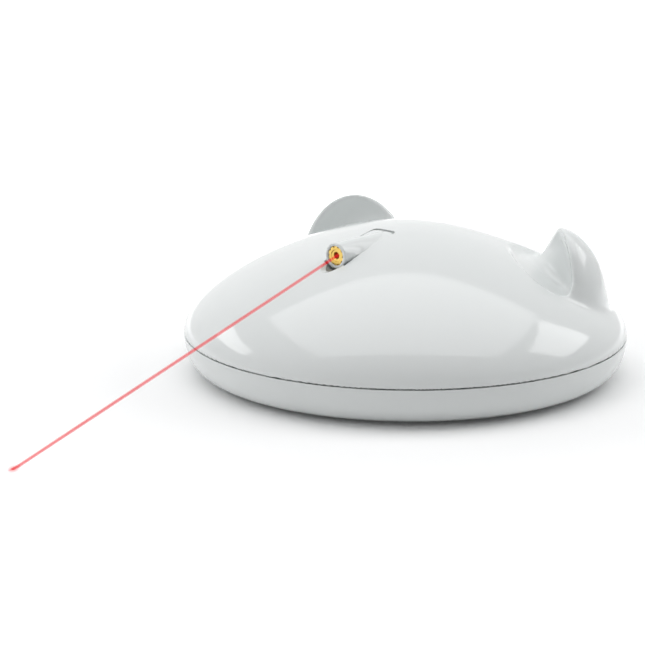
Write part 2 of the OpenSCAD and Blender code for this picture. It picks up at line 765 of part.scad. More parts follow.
module battery_contacts() color(steel) for (i = [0 : cell_n - 1], s = [-1, 1])
    translate([s * (bay_len / 2 - plate_t / 2), cell_y(i), cell_z])
        cube([plate_t, contact_w, contact_w], center = true);

spring_turns = 3;
spring_steps = 14;
spring_sides = 6;
spring_wire_r = 0.35;

// Ring of points round a conical spring's wire at share t of its length
function spring_ring(t, r0, r1, h) = let (a = 360 * spring_turns * t, r = r0 + (r1 - r0) * t,
    z = spring_wire_r + (h - 2 * spring_wire_r) * t)
    [for (k = [0 : spring_sides - 1]) let (b = 360 * k / spring_sides, w = r + spring_wire_r * cos(b))
        [w * cos(a), w * sin(a), z + spring_wire_r * sin(b)]];

// Conical spring from radius r0 at its foot to r1 at height h
module coil_spring(r0, r1, h) {
    n = spring_turns * spring_steps;
    m = spring_sides;
    points = [for (i = [0 : n]) each spring_ring(i / n, r0, r1, h)];
    side = [for (i = [0 : n - 1], k = [0 : m - 1]) let (a = i * m + k, b = i * m + (k + 1) % m)
        each [[a, a + m, b], [b, a + m, b + m]]];
    ends = [for (k = [1 : m - 2]) each [[0, k, k + 1], [n * m, n * m + k + 1, n * m + k]]];
    polyhedron(points, concat(side, ends));
}

module battery_springs() color(steel) for (i = [0 : cell_n - 1])
    translate([-cell_side(i) * (bay_len / 2 - plate_t), cell_y(i), cell_z])
        rotate([0, 90 * cell_side(i), 0]) coil_spring(spring_foot_r, spring_tip_r, cell_spring_len);

module battery_door() color(white_body) {
    difference() {
        union() {
            translate([-door_half, door_y0, foot_lift])
                cube([2 * door_half, door_hinge_y - door_y0, door_t]);
            along_hinge(door_t / 2, door_half);
            along_hinge(door_pin_r, door_half + door_pin_len + pin_end_gap);
        }
        // thumb grooves by the free edge
        for (i = [1 : groove_n]) translate([-groove[0] / 2, bay_y0 + groove_pitch * i, foot_lift - over])
            cube([groove[0], groove[1], over + groove[2]]);
    }
}

// Hub that carries the output gear and turns the top shell
hub_turn = 0;
module drive_hub() color(nylon) difference() {
    union() {
        gear(hub_teeth, level_a, hub_turn);
        translate([0, 0, chassis_top + washer_t])
            cylinder(r = hub_r, h = boss_z - boss_gap - chassis_top - washer_t);
        hub_key(0, boss_z - key_foot, hub_key_h + key_foot);
    }
    translate([0, 0, chassis_top])
        cylinder(r = post_d / 2 + run_gap, h = post_top + post_end_gap - chassis_top);
    translate([0, 0, chassis_top])
        cylinder(r = pivot_screw_r + push_gap, h = hub_top + over - chassis_top);
}

gear_2_turn = mesh_turn(gear_2_dir, hub_turn, hub_teeth, pinion_teeth);
wheel_2_turn = 0;
gear_1_turn = mesh_turn(gear_1_dir, wheel_2_turn, wheel_teeth, pinion_teeth);
wheel_1_turn = 0;
pinion_turn = mesh_turn(motor_dir, wheel_1_turn, wheel_teeth, pinion_teeth);

// Compound gear: a pinion under a wheel, on a pin between the chassis and the bridge
module compound_gear(pinion_z, pinion_turn, wheel_turn) {
    wheel_z = pinion_z + gear_w + gear_gap;
    difference() {
        union() {
            gear(pinion_teeth, pinion_z, pinion_turn);
            translate([0, 0, chassis_top + gear_lift])
                cylinder(r = gear_sleeve_r, h = wheel_z - chassis_top);
            gear(wheel_teeth, wheel_z, wheel_turn);
        }
        translate([0, 0, chassis_top - over])
            cylinder(r = gear_pin_r + run_gap, h = bridge_top - chassis_top);
    }
}

module compound_gear_2() color(nylon)
    at(gear_2_at) compound_gear(level_a, gear_2_turn, wheel_2_turn);

module compound_gear_1() color(nylon)
    at(gear_1_at) compound_gear(level_b, gear_1_turn, wheel_1_turn);

module motor_pinion() color([0.85, 0.7, 0.35]) at(motor_at) difference() {
    gear(pinion_teeth, level_c, pinion_turn);
    translate([0, 0, level_c - over]) cylinder(r = motor_shaft_r + push_gap, h = 2 * gear_w);
}

module motor_shaft() color(steel) at(motor_at, motor_foot_z + shaft_foot)
    cylinder(r = motor_shaft_r, h = level_c + gear_w + shaft_tip - motor_foot_z - shaft_foot);

module pivot_screw() color(steel) {
    head_z = pivot_well_z - face_gap - pivot_washer_t;
    translate([0, 0, head_z]) rotate([180, 0, 0])
        screw([pivot_screw_r - push_gap, pivot_screw_top - pivot_end_gap - head_z, pivot_head_r,
               pivot_head_h]);
}

module pivot_washer() color(nylon)
    translate([0, 0, pivot_well_z - face_gap - pivot_washer_t])
        ring(pivot_well_r - pivot_hole_gap, pivot_screw_r + push_gap, pivot_washer_t);

module brush_block() color([0.2, 0.2, 0.22]) difference() {
    cut_h = brush_block_h + 2 * over;
    translate([-brush_fix_x - brush_end, boss_r + brush_margin, brush_block_z])
        cube([2 * (brush_fix_x + brush_end), ring_r[1] + ring_w + 2 * hole_gap - boss_r, brush_block_h]);
    for (s = [-1, 1]) at([s * brush_fix_x, brush_y], brush_block_z - over)
        cylinder(r = brush_screw[0] + hole_gap, h = cut_h);
    for (r = ring_r) at([0, r], brush_block_z - over) cylinder(r = brush_pin[0] + push_gap, h = cut_h);
}

module brush_pins() color(copper) for (r = ring_r) at([0, r], ring_top + run_gap) {
    cylinder(r = brush_tip[0], h = brush_tip[1]);
    translate([0, 0, brush_pin_foot]) cylinder(r = brush_pin[0], h = brush_pin[1]);
}

module brush_screws() color(steel)
    for (s = [-1, 1]) at([s * brush_fix_x, brush_y], brush_block_z) rotate([180, 0, 0])
        screw(brush_screw);

module tilt_pin() color(steel) across_x(tilt_pin_r, tilt_pin_half);

module barrel_shell() color(white_body) difference() {
    union() {
        barrel_bar(barrel_r, barrel_nose, barrel_tail);
        intersection() {
            dome_fill(saddle_sink, seam_z);
            over_barrel(barrel_r - slot_ease, -barrel_nose + 2 * tail_edge, -barrel_tail, crown_z);
        }
        across_x(lug_r, lug_half);
        translate([-lug_half, tilt_y - lug_r, tilt_z])
            cube([2 * lug_half, 2 * lug_r, barrel_z - tilt_z]);
    }
    along_y(module_r + push_gap, -barrel_nose - over, module_y + module_len);
    along_y(wire_bore_r, -barrel_nose, module_y + module_len + wire_bore_len);
    across_x(tilt_pin_r + run_gap, barrel_r);
}

// Brass tube of the laser module: bored in front for the lens ring's thread, then for lens and diode
module laser_housing() color([0.8, 0.62, 0.28]) difference() {
    along_y(module_r, module_y + flange_t, module_y + module_len);
    along_y(thread_r, module_y, module_y + lens_ring_len);
    along_y(lens_r, module_y, module_y + module_len - diode_seat);
    along_y(diode_r, module_y + module_len - diode_seat, module_y + module_len + over);
}

// Focus ring: a notched flange over the housing's end, with a threaded neck inside it
module lens_ring() color([0.85, 0.68, 0.32]) difference() {
    union() {
        along_y(flange_r, module_y, module_y + flange_t);
        along_y(thread_r - push_gap, module_y, module_y + lens_ring_len);
    }
    along_y(lens_bore_r, module_y - over, module_y + lens_ring_len + over);
    for (i = [0 : lens_ring_notches - 1])
        translate([0, module_y - over, barrel_z]) rotate([0, 360 * i / lens_ring_notches, 0])
            translate([flange_r - notch[0], 0, -notch[1] / 2])
                cube([2 * notch[0], flange_t + over, notch[1]]);
}

module laser_lens() color([0.35, 0.08, 0.1])
    along_y(lens_r - push_gap, module_y + lens_ring_len, module_y + lens_ring_len + lens_t);

module lens_spring() color(steel)
    translate([0, module_y + lens_ring_len + lens_t, barrel_z]) rotate([-90, 0, 0])
        coil_spring(lens_spring_r, lens_spring_r, module_len - diode_seat - lens_ring_len - lens_t);

module laser_diode() color([0.75, 0.66, 0.4])
    along_y(diode_r - push_gap, module_y + module_len - diode_seat,
            module_y + module_len - diode_seat + diode_t);

module laser_board() color(board_green)
    translate([0, module_y + module_len - diode_seat + diode_t, barrel_z]) difference() {
        translate([-laser_board_size[0] / 2, 0, -laser_board_size[2] / 2]) cube(laser_board_size);
        translate([0, board_hole_y, -over])
            cylinder(r = board_hole_r, h = laser_board_size[2] + 2 * over);
    }

base_shell();
rubber_feet();
chassis_plate();
chassis_screws();
gear_bridge();
bridge_screws();
gear_pins();
thrust_washer();
slip_ring_board();
slip_rings();
motor_can();
motor_end_cap();
motor_screws();
main_board();
board_components();
board_screws();
slide_switch();
battery_contacts();
battery_springs();
battery_cells();
top_shell();
drive_hub();
pivot_screw();
pivot_washer();
brush_block();
brush_pins();
brush_screws();
tilt_pin();
compound_gear_1();
compound_gear_2();
motor_pinion();
motor_shaft();
barrel_shell();
laser_housing();
lens_ring();
laser_lens();
lens_spring();
laser_diode();
laser_board();
mode_knob();
battery_door();
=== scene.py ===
"""Shells, barrel, small pieces and finishes of an automatic cat laser toy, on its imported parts.

Lengths are in metres. The origin is on the floor under the middle, +Z up, the laser towards -Y.
"""

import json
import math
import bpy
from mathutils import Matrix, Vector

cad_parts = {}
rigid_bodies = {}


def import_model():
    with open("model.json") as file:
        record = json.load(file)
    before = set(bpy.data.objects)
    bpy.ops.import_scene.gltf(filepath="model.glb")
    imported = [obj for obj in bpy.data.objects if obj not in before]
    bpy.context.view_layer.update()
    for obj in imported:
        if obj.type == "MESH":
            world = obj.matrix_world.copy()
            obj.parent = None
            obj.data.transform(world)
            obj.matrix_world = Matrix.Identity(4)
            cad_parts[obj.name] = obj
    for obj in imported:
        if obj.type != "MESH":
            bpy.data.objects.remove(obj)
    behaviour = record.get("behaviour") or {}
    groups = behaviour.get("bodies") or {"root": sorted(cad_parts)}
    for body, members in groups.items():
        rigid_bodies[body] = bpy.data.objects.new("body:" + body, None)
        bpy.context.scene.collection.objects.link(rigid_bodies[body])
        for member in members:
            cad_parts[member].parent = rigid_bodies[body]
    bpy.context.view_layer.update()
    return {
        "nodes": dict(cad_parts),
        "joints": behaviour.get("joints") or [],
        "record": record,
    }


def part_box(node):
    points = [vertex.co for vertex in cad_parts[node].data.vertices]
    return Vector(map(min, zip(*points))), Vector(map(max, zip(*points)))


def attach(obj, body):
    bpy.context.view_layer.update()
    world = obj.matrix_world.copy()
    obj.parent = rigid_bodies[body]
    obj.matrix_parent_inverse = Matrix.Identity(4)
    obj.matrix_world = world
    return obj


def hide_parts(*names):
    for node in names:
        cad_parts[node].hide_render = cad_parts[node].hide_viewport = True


bl_info = {
    "name": "Cat laser toy",
    "version": (1, 0, 0),
    "blender": (4, 5, 0),
    "location": "3D View > Sidebar > Laser toy",
    "description": "Builds the shells, barrel and finishes of a turning cat laser toy",
    "category": "Object",
}

import bmesh
import bpy
import numpy as np
from bpy.props import FloatProperty, FloatVectorProperty, IntProperty, PointerProperty
from bpy.types import Operator, Panel, PropertyGroup
from mathutils import Matrix, Vector

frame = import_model()

MM = 0.001
WELD = 0.001 * MM  # points nearer than this are one
TINY = 1e-9  # keeps a divisor above zero
ARC_POINTS = 9  # points of a rounded corner
NODES = frame["nodes"]
TOP_LOW, TOP_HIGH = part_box("top_shell")
BASE_LOW, BASE_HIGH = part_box("base_shell")
BARREL_LOW, BARREL_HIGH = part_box("barrel_shell")
RING_LOW, RING_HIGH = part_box("lens_ring")
FEET_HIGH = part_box("rubber_feet")[1]
PIN_LOW, PIN_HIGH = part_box("tilt_pin")
TILT = next(joint for joint in frame["joints"] if joint["name"] == "barrel_tilt")
BARREL_R = BARREL_HIGH.x
BARREL_Z = (RING_LOW.z + RING_HIGH.z) / 2
NOSE = -BARREL_LOW.y
TAIL = -BARREL_HIGH.y


def length(name, description, default):
    """A length property of the toy, in metres."""
    return FloatProperty(name=name, description=description, default=default, unit="LENGTH",
                         precision=5)


def angle(name, description, degrees):
    """An angle property, set in degrees."""
    return FloatProperty(name=name, description=description, default=math.radians(degrees),
                         subtype="ANGLE")


def number(name, description, default):
    """A property without a unit."""
    return FloatProperty(name=name, description=description, default=default)


def colour(name, description, default):
    """A colour property."""
    return FloatVectorProperty(name=name, description=description, default=default,
                               subtype="COLOR")


class ToySizes(PropertyGroup):
    """Sizes of the toy's outside that a user would change"""

    body_r: length("Body radius", "Radius of the body at the seam", TOP_HIGH.x)
    seam_z: length("Seam height", "Height of the top shell's rim above the floor", TOP_LOW.z)
    seam_gap: length("Seam gap", "Gap between the two shells", 0.28 * MM)
    dome_h: length("Dome height", "Height of the dome above its rim", 36.7 * MM)
    dome_crown: length("Crown reach", "Handle of the dome's curve at its crown", 28 * MM)
    dome_shoulder: length("Shoulder height", "Handle of the dome's curve at its rim", 15 * MM)
    wall: length("Wall", "Thickness of the two shells", 2 * MM)
    flat_r: length("Underside radius", "Radius of the flat underside", 66 * MM)
    ear_x: length("Ear side place", "Distance of an ear's egg beside the pivot", 42.3 * MM)
    ear_y: length("Ear back place", "Distance of an ear's egg behind the pivot", 23.4 * MM)
    ear_z: length("Ear height", "Height of an ear's egg above the floor", 24.2 * MM)
    ear_r: length("Ear radius", "Radius of the upright egg that an ear is cut from", 20.2 * MM)
    ear_half_h: length("Ear half height", "Half the height of that egg", 27.1 * MM)
    ear_front: length("Ear front", "Distance of an ear's front behind its egg's middle", 2.6 * MM)
    ear_turn: angle("Ear turn", "Turn of each ear towards the middle", 42)
    ear_lean: angle("Ear lean", "Lean of an ear's front at its inner side", 27)
    ear_dish: length("Ear dish", "Depth of the dish in an ear's front", 4.6 * MM)
    ear_fillet: length("Ear fillet", "Blend between an ear and the dome", 2 * MM)
    ear_lip: length("Ear lip", "Rounding of an ear's rim", 4 * MM)
    scoop_r: length("Scoop width", "Half the width of the scoop in front of an ear", 20.5 * MM)
    scoop_reach: length("Scoop reach", "Half the length of the scoop", 12 * MM)
    scoop_half_h: length("Scoop half height", "Half the height of the scoop", 23.8 * MM)
    scoop_z: length("Scoop middle", "Height of the scoop's middle", 27.5 * MM)
    scoop_ahead: length("Scoop place", "Distance of the scoop ahead of the ear's egg", 2.2 * MM)
    scoop_floor: length("Scoop floor", "Height of its floor at the egg's middle", 33.9 * MM)
    scoop_edge: length("Scoop edge", "Rounding of the scoop's outer edge", 1 * MM)
    scoop_slope: angle("Scoop slope", "Fall of the scoop's floor outwards", 26)
    slot_gap: length("Slot gap", "Gap between the barrel and its slot", 0.25 * MM)
    tail_edge: length("Tail edge", "Rounding of the barrel's tail", 1.5 * MM)
    nose_edge: length("Nose edge", "Rounding of the barrel's nose", 0.5 * MM)
    saddle_half: length("Saddle half width", "Half the width of the barrel's saddle", 4.45 * MM)
    saddle_sink: length("Saddle depth", "Depth of the saddle under the dome", 0.12 * MM)
    foot_place: length("Foot place", "Distance of the feet from the middle", 52 * MM)
    foot_r: length("Foot radius", "Radius of a rubber foot", 5 * MM)
    skin_cell: length("Skin cell", "Size of the mesh cells of the top shell's skin", 0.8 * MM)


class ToyFinish(PropertyGroup):
    """Colours of the toy's finishes"""

    white: colour("White", "Gloss white of the shells", (0.80, 0.825, 0.82))
    brass: colour("Brass", "Turned brass of the laser module", (0.72, 0.50, 0.14))
    beam: colour("Beam", "Light of the laser", (1.0, 0.015, 0.03))


class Studio(PropertyGroup):
    """Camera and lamps of the picture"""

    camera_turn: angle("Camera turn", "Azimuth of the camera to the right", 41.5)
    camera_rise: angle("Camera rise", "Elevation of the camera", 14.42)
    camera_far: length("Camera distance", "Distance of the camera from the body", 682.2 * MM)
    picture_px: IntProperty(name="Picture size", description="Side of the picture in pixels",
                            default=645, subtype="PIXEL")
    focal_px: number("Focal length", "Focal length in pixels", 2000)
    aim_right: number("Aim right", "Sideways aim, by distance", -0.0410)
    aim_up: number("Aim up", "Upward aim, by distance", 0.0028)
    dot_x: length("Dot sideways", "Where the beam meets the floor, to the right", -14.8 * MM)
    dot_y: length("Dot place", "Where the beam meets the floor, away from the laser", -160.4 * MM)
    beam_r: length("Beam radius", "Radius of the visible beam", 0.62 * MM)
    beam_light: number("Beam light", "Brightness of the beam", 0.85)
    beam_cover: number("Beam cover", "How much the beam hides what is behind", 0.62)
    fill: number("Fill", "Brightness of the two lamps that only fill shadows", 0.45)
    lamp_far: length("Lamp distance", "Distance of the soft boxes from the toy", 1.4)
    overhead: number("Overhead", "Brightness of the soft box overhead", 1.48)
    side_boxes: number("Side boxes", "Brightness of the two side boxes", 2.8)
    wall_front: number("Front wall", "Light from the camera's side", 0.0)
    wall_back: number("Back wall", "Light from behind the toy", 0.65)


# Solids ------------------------------


def new_object(name, mesh):
    """Links a new object that holds the mesh."""
    obj = bpy.data.objects.new(name, mesh)
    bpy.context.scene.collection.objects.link(obj)
    return obj


def made_of(name, points, faces, edges=()):
    """A new object made of points with faces or loose edges."""
    mesh = bpy.data.meshes.new(name)
    mesh.from_pydata(points, edges, faces)
    return new_object(name, mesh)


def face_outwards(mesh):
    """Turns the faces of a closed mesh outwards."""
    work = bmesh.new()
    work.from_mesh(mesh)
    bmesh.ops.recalc_face_normals(work, faces=work.faces)
    work.to_mesh(mesh)
    work.free()


def apply_step(obj, step):
    """Applies a modifier for good if it leaves any faces, and says whether it does."""
    bpy.context.view_layer.update()
    evaluated = obj.evaluated_get(bpy.context.evaluated_depsgraph_get())
    mesh = bpy.data.meshes.new_from_object(evaluated)
    if len(mesh.polygons) == 0:
        return False
    obj.modifiers.remove(step)
    obj.data = mesh
    return True


def revolve(name, profile, steps=256, to_world=Matrix.Identity(4)):
    """A closed solid: the profile's (radius, height) points turned about Z, ends on the axis."""
    outline = made_of("profile", [(r, 0, z) for r, z in profile], [],
                      [(k, k + 1) for k in range(len(profile) - 1)])
    obj = run_tree(name, turned_tree, {
        "Profile": outline, "Rows": len(profile), "Steps": steps,
        "Material": finishes["gloss_white"]})
    bpy.data.objects.remove(outline)
    obj.data.transform(to_world)
    face_outwards(obj.data)
    return obj


def prism(name, outline, low, high):
    """A closed upright solid over an outline in plan."""
    count = len(outline)
    points = [(x, y, low) for x, y in outline] + [(x, y, high) for x, y in outline]
    faces = [tuple(range(count)), tuple(range(count, 2 * count))]
    faces += [(k, (k + 1) % count, count + (k + 1) % count, count + k) for k in range(count)]
    obj = made_of(name, points, faces)
    face_outwards(obj.data)
    return obj


def cad_copy(node):
    """A welded copy of a node's mesh, for use in cuts."""
    obj = new_object(node + "_copy", NODES[node].data.copy())
    work = bmesh.new()
    work.from_mesh(obj.data)
    bmesh.ops.remove_doubles(work, verts=work.verts, dist=WELD)
    work.to_mesh(obj.data)
    work.free()
    return obj


def combine(obj, other, operation="DIFFERENCE"):
    """Applies a boolean to obj and drops the other solid."""
    step = obj.modifiers.new("cut", "BOOLEAN")
    step.operation = operation
    step.object = other
    for solver in ("MANIFOLD", "EXACT"):
        step.solver = solver
        if apply_step(obj, step):
            bpy.data.objects.remove(other)
            return
    raise RuntimeError(f"{operation} of {other.name} left nothing of {obj.name}")


def finish_piece(obj, body, slot, node, smooth=32):
    """Shades a piece, smooth up to an angle, gives it its slot's material, ties it to its body and
    hides its node.
    """
    obj.data.shade_smooth()
    obj.data.set_sharp_from_angle(angle=math.radians(smooth))
    obj.data.materials.clear()
    obj.data.materials.append(finishes[slot])
    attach(obj, body)
    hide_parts(node)


# Curves of the shells ------------------------------


def bezier(handles, t):
    """Points of a curve with four handles at shares t."""
    t = np.asarray(t)[..., None]
    return ((1 - t) ** 3 * handles[0] + 3 * t * (1 - t) ** 2 * handles[1]
            + 3 * t * t * (1 - t) * handles[2] + t ** 3 * handles[3])


def bezier_run(handles, t):
    """Direction of the curve at shares t."""
    t = np.asarray(t)[..., None]
    return 3 * ((1 - t) ** 2 * (handles[1] - handles[0])
                + 2 * t * (1 - t) * (handles[2] - handles[1]) + t * t * (handles[3] - handles[2]))


def dome_handles(size):
    """The dome's outline from its crown to its rim, as (radius, height)."""
    crown = size.seam_z + size.dome_h
    return np.array([(0, crown), (size.dome_crown, crown),
                     (size.body_r, size.seam_z + size.dome_shoulder), (size.body_r, size.seam_z)])


def base_handles(size):
    """The base's outline from its upper edge to its flat underside, as (radius, height)."""
    high = size.seam_z - size.seam_gap
    low = BASE_LOW.z
    flank = 0.55  # share of the height that the upper handle takes
    belly = 0.62  # share of the overhang that the lower handle takes
    return np.array([(size.body_r, high), (size.body_r, high - flank * (high - low)),
                     (size.flat_r + belly * (size.body_r - size.flat_r), low), (size.flat_r, low)])


def inset_curve(handles, depth, steps=72):
    """Points of a curve moved inwards by depth, as (radius, height)."""
    t = np.linspace(0, 1, steps + 1)
    run = bezier_run(handles, t)
    run /= np.linalg.norm(run, axis=1)[:, None]
    moved = bezier(handles, t) - depth * np.stack([-run[:, 1], run[:, 0]], axis=1)
    return [tuple(point) for point in moved]


def curve_distance(handles, r, z):
    """Signed distance of points to the dome's outline, less than zero under it."""
    steps = 96
    rounds = 5
    shares = np.linspace(0, 1, steps + 1)
    marks = bezier(handles, shares)
    gap = (r[..., None] - marks[:, 0]) ** 2 + (z[..., None] - marks[:, 1]) ** 2
    t = shares[np.argmin(gap, axis=-1)]
    bend_a = handles[2] - 2 * handles[1] + handles[0]
    bend_b = handles[3] - 2 * handles[2] + handles[1]
    point = np.stack([r, z], axis=-1)
    for _ in range(rounds):
        off = bezier(handles, t) - point
        run = bezier_run(handles, t)
        bend = 6 * ((1 - t)[..., None] * bend_a + t[..., None] * bend_b)
        slope = np.sum(off * run, axis=-1)
        rate = np.sum(run * run, axis=-1) + np.sum(off * bend, axis=-1)
        t = np.clip(t - slope / np.maximum(rate, TINY), 0, 1)
    off = point - bezier(handles, t)
    run = bezier_run(handles, t)
    normal = np.stack([-run[..., 1], run[..., 0]], axis=-1)
    side = np.sign(np.sum(off * normal, axis=-1))
    far = side * np.linalg.norm(off, axis=-1)
    return np.where(z < handles[3][1], r - handles[3][0], far)


def smooth_min(a, b, blend):
    """Lower of two distances, blended over a width."""
    share = np.maximum(blend - np.abs(a - b), 0) / blend
    return np.minimum(a, b) - share * share * blend / 4


def smooth_max(a, b, blend):
    """Higher of two distances, blended over a width."""
    return -smooth_min(-a, -b, blend)


def egg_distance(a, b, c, radii):
    """Signed distance to an upright egg with three radii, about right near its surface."""
    near = np.sqrt((a / radii[0]) ** 2 + (b / radii[1]) ** 2 + (c / radii[2]) ** 2)
    steep = np.sqrt((a / radii[0] ** 2) ** 2 + (b / radii[1] ** 2) ** 2 + (c / radii[2] ** 2) ** 2)
    return near * (near - 1) / np.maximum(steep, TINY)


def skin_distance(size, p, dome=None):
    """Signed distance to the outside of the top shell, with both ears and their scoops."""
    if dome is None:
        dome = curve_distance(dome_handles(size), np.hypot(p[..., 0], p[..., 1]), p[..., 2])
    out = np.abs(p[..., 0])
    x = out - size.ear_x
    y = p[..., 1] - size.ear_y
    z = p[..., 2]
    cos, sin = math.cos(size.ear_turn), math.sin(size.ear_turn)
    ahead, side = -sin * x - cos * y, cos * x - sin * y
    egg = egg_distance(ahead, side, z - size.ear_z, (size.ear_r, size.ear_r, size.ear_half_h))
    inner = np.clip(0.5 - side / size.ear_r, 0, 1)
    least = 0.1  # share of the lean that is left at the outer side
    lean = math.tan(size.ear_lean) * (least + (1 - least) * inner * inner * (3 - 2 * inner))
    drop = np.clip(size.ear_z + size.ear_half_h - z, 0, size.ear_r)
    front = (ahead + size.ear_front - lean * drop) / np.sqrt(1 + lean * lean)
    half_egg = smooth_max(egg, front, size.scoop_edge)
    whole = smooth_min(dome, half_egg, size.ear_fillet)

    bowl = egg_distance(ahead - size.scoop_ahead, side, z - size.scoop_z,
                        (size.scoop_reach, size.scoop_r, size.scoop_half_h))
    reach = math.hypot(size.ear_x, size.ear_y)
    outwards = (out * size.ear_x + p[..., 1] * size.ear_y) / reach - reach
    floor = (z - size.scoop_floor) * math.cos(size.scoop_slope)
    floor = floor + outwards * math.sin(size.scoop_slope)
    scoop = smooth_max(bowl, -floor, size.ear_lip)
    scoop = smooth_max(scoop, -front - size.ear_dish, size.ear_lip)
    above = np.clip(dome / size.ear_lip, 0, 1)
    edge = size.scoop_edge + (size.ear_lip - size.scoop_edge) * np.maximum(above, inner)
    return smooth_max(whole, -scoop, edge)


def dome_table(size):
    """Distances to the dome's outline on a grid of radius and height, and a look-up in it."""
    handles = dome_handles(size)
    step = 0.5 * MM
    beside, under, over = 12 * MM, 6 * MM, 10 * MM  # how far the table reaches past the dome
    radii = np.arange(0, size.body_r + beside, step)
    heights = np.arange(size.seam_z - under, size.seam_z + size.dome_h + over, step)
    r, z = np.meshgrid(radii, heights, indexing="ij")
    table = curve_distance(handles, r, z)

    last = 1.001  # keeps a look-up inside the last cell

    def look_up(points):
        u = np.clip(np.hypot(points[..., 0], points[..., 1]) / step, 0, len(radii) - last)
        v = np.clip((points[..., 2] - heights[0]) / step, 0, len(heights) - last)
        i, k = u.astype(int), v.astype(int)
        u, v = u - i, v - k
        return ((1 - u) * (1 - v) * table[i, k] + u * (1 - v) * table[i + 1, k]
                + (1 - u) * v * table[i, k + 1] + u * v * table[i + 1, k + 1])

    return look_up


def net_of(values, low, cell):
    """Points and quads of the surface where a grid of distances is zero."""
    inside = values < 0
    shape = np.array(values.shape) - 1
    total = np.zeros(tuple(shape) + (3,))
    count = np.zeros(tuple(shape))
    crossings = []
    for axis in range(3):
        others = [a for a in range(3) if a != axis]
        here, there = [slice(None)] * 3, [slice(None)] * 3
        here[axis], there[axis] = slice(0, -1), slice(1, None)
        here, there = tuple(here), tuple(there)
        a, b = values[here], values[there]
        hit = inside[here] != inside[there]
        share = np.where(hit, a / np.where(a == b, 1, a - b), 0)
        crossings.append((hit, inside[here]))
        for steps in ((0, 0), (0, 1), (1, 0), (1, 1)):
            cut = [slice(None)] * 3
            for other, step in zip(others, steps):
                cut[other] = slice(step, step + shape[other])
            found = hit[tuple(cut)]
            count += found
            total[..., axis] += found * share[tuple(cut)]
            for other, step in zip(others, steps):
                total[..., other] += found * step
    used = count > 0
    index = -np.ones(used.shape, dtype=np.int64)
    index[used] = np.arange(used.sum())
    cells = np.argwhere(used)
    points = low + cell * (cells + total[used] / count[used][:, None])
    quads = []
    for axis in range(3):
        hit, start_inside = crossings[axis]
        b, c = (axis + 1) % 3, (axis + 2) % 3
        edges = np.argwhere(hit)
        keep = (edges[:, b] > 0) & (edges[:, c] > 0)
        edges = edges[keep & (edges[:, b] < shape[b]) & (edges[:, c] < shape[c])]
        start = start_inside[tuple(edges.T)]
        corners = []
        for back_b, back_c in ((1, 1), (0, 1), (0, 0), (1, 0)):
            cell_at = edges.copy()
            cell_at[:, b] -= back_b
            cell_at[:, c] -= back_c
            corners.append(index[tuple(cell_at.T)])
        quad = np.stack(corners, axis=1)
        quad[~start] = quad[~start][:, ::-1]
        quads.append(quad)
    return points, np.concatenate(quads)


def skin_solid(name, size, depth, bottom, cell):
    """The outside of the top shell moved inwards by depth, as a closed solid down to bottom."""

    def distance(p, dome=None):
        return np.maximum(skin_distance(size, p, dome) + depth, bottom - p[..., 2])

    beside, under, over = 3 * cell, 3.5 * cell, 4 * cell  # room round the skin
    side = size.body_r + beside
    low = np.array([-side, -side, bottom - under])
    high = np.array([side, side, TOP_HIGH.z + over])
    counts = np.ceil((high - low) / cell).astype(int) + 1
    look_up = dome_table(size)
    x = low[0] + cell * np.arange(counts[0])
    y = low[1] + cell * np.arange(counts[1])
    values = np.empty(tuple(counts), dtype=np.float32)
    for k in range(counts[2]):
        p = np.stack(np.meshgrid(x, y, [low[2] + cell * k], indexing="ij"), axis=-1)[:, :, 0]
        values[:, :, k] = distance(p, look_up(p))
    points, quads = net_of(values, low, cell)
    rounds = 4
    reach = cell / 4
    probe = 0.01 * MM
    least_steep = 0.25
    for _ in range(rounds):
        slope = np.empty_like(points)
        for axis in range(3):
            step = np.zeros(3)
            step[axis] = probe
            slope[:, axis] = (distance(points + step) - distance(points - step)) / (2 * probe)
        steep = np.maximum(np.sum(slope * slope, axis=1), least_steep)
        move = -distance(points)[:, None] * slope / steep[:, None]
        points = points + np.clip(move, -reach, reach)
    return made_of(name, points.tolist(), quads.tolist())


# Node trees ------------------------------


def set_inputs(tree, node, inputs):
    """Gives each named input a plain value or the socket that feeds it."""
    for name, value in inputs.items():
        if isinstance(value, bpy.types.NodeSocket):
            tree.links.new(value, node.inputs[name])
        else:
            node.inputs[name].default_value = value


def add_node(tree, kind, inputs=None, **settings):
    """Adds a node with its settings and its inputs."""
    node = tree.nodes.new(kind)
    for name, value in settings.items():
        setattr(node, name, value)
    set_inputs(tree, node, inputs or {})
    return node


def maths(tree, operation, *values):
    """The result of a sum with sockets or plain numbers."""
    node = add_node(tree, "ShaderNodeMath", dict(enumerate(values)), operation=operation)
    return node.outputs[0]


def new_tree(name, inputs):
    """A new tree of geometry nodes with named inputs, and the sockets that bring them."""
    tree = bpy.data.node_groups.new(name, "GeometryNodeTree")
    tree.interface.new_socket("Geometry", in_out="OUTPUT", socket_type="NodeSocketGeometry")
    for label, kind in inputs.items():
        tree.interface.new_socket(label, in_out="INPUT", socket_type="NodeSocket" + kind)
    return tree, tree.nodes.new("NodeGroupInput").outputs


def end_tree(tree, given, geometry):
    """Ends a tree: real geometry with its material."""
    real = add_node(tree, "GeometryNodeRealizeInstances", {"Geometry": geometry})
    paint = add_node(tree, "GeometryNodeSetMaterial", {
        "Geometry": real.outputs["Geometry"], "Material": given["Material"]})
    add_node(tree, "NodeGroupOutput", {0: paint.outputs["Geometry"]})
    return tree


def on_circle(tree, turn, radius, height=0.0):
    """The point at a turn about Z, a radius and a height."""
    return add_node(tree, "ShaderNodeCombineXYZ", {
        "X": maths(tree, "MULTIPLY", maths(tree, "COSINE", turn), radius),
        "Y": maths(tree, "MULTIPLY", maths(tree, "SINE", turn), radius),
        "Z": height}).outputs[0]


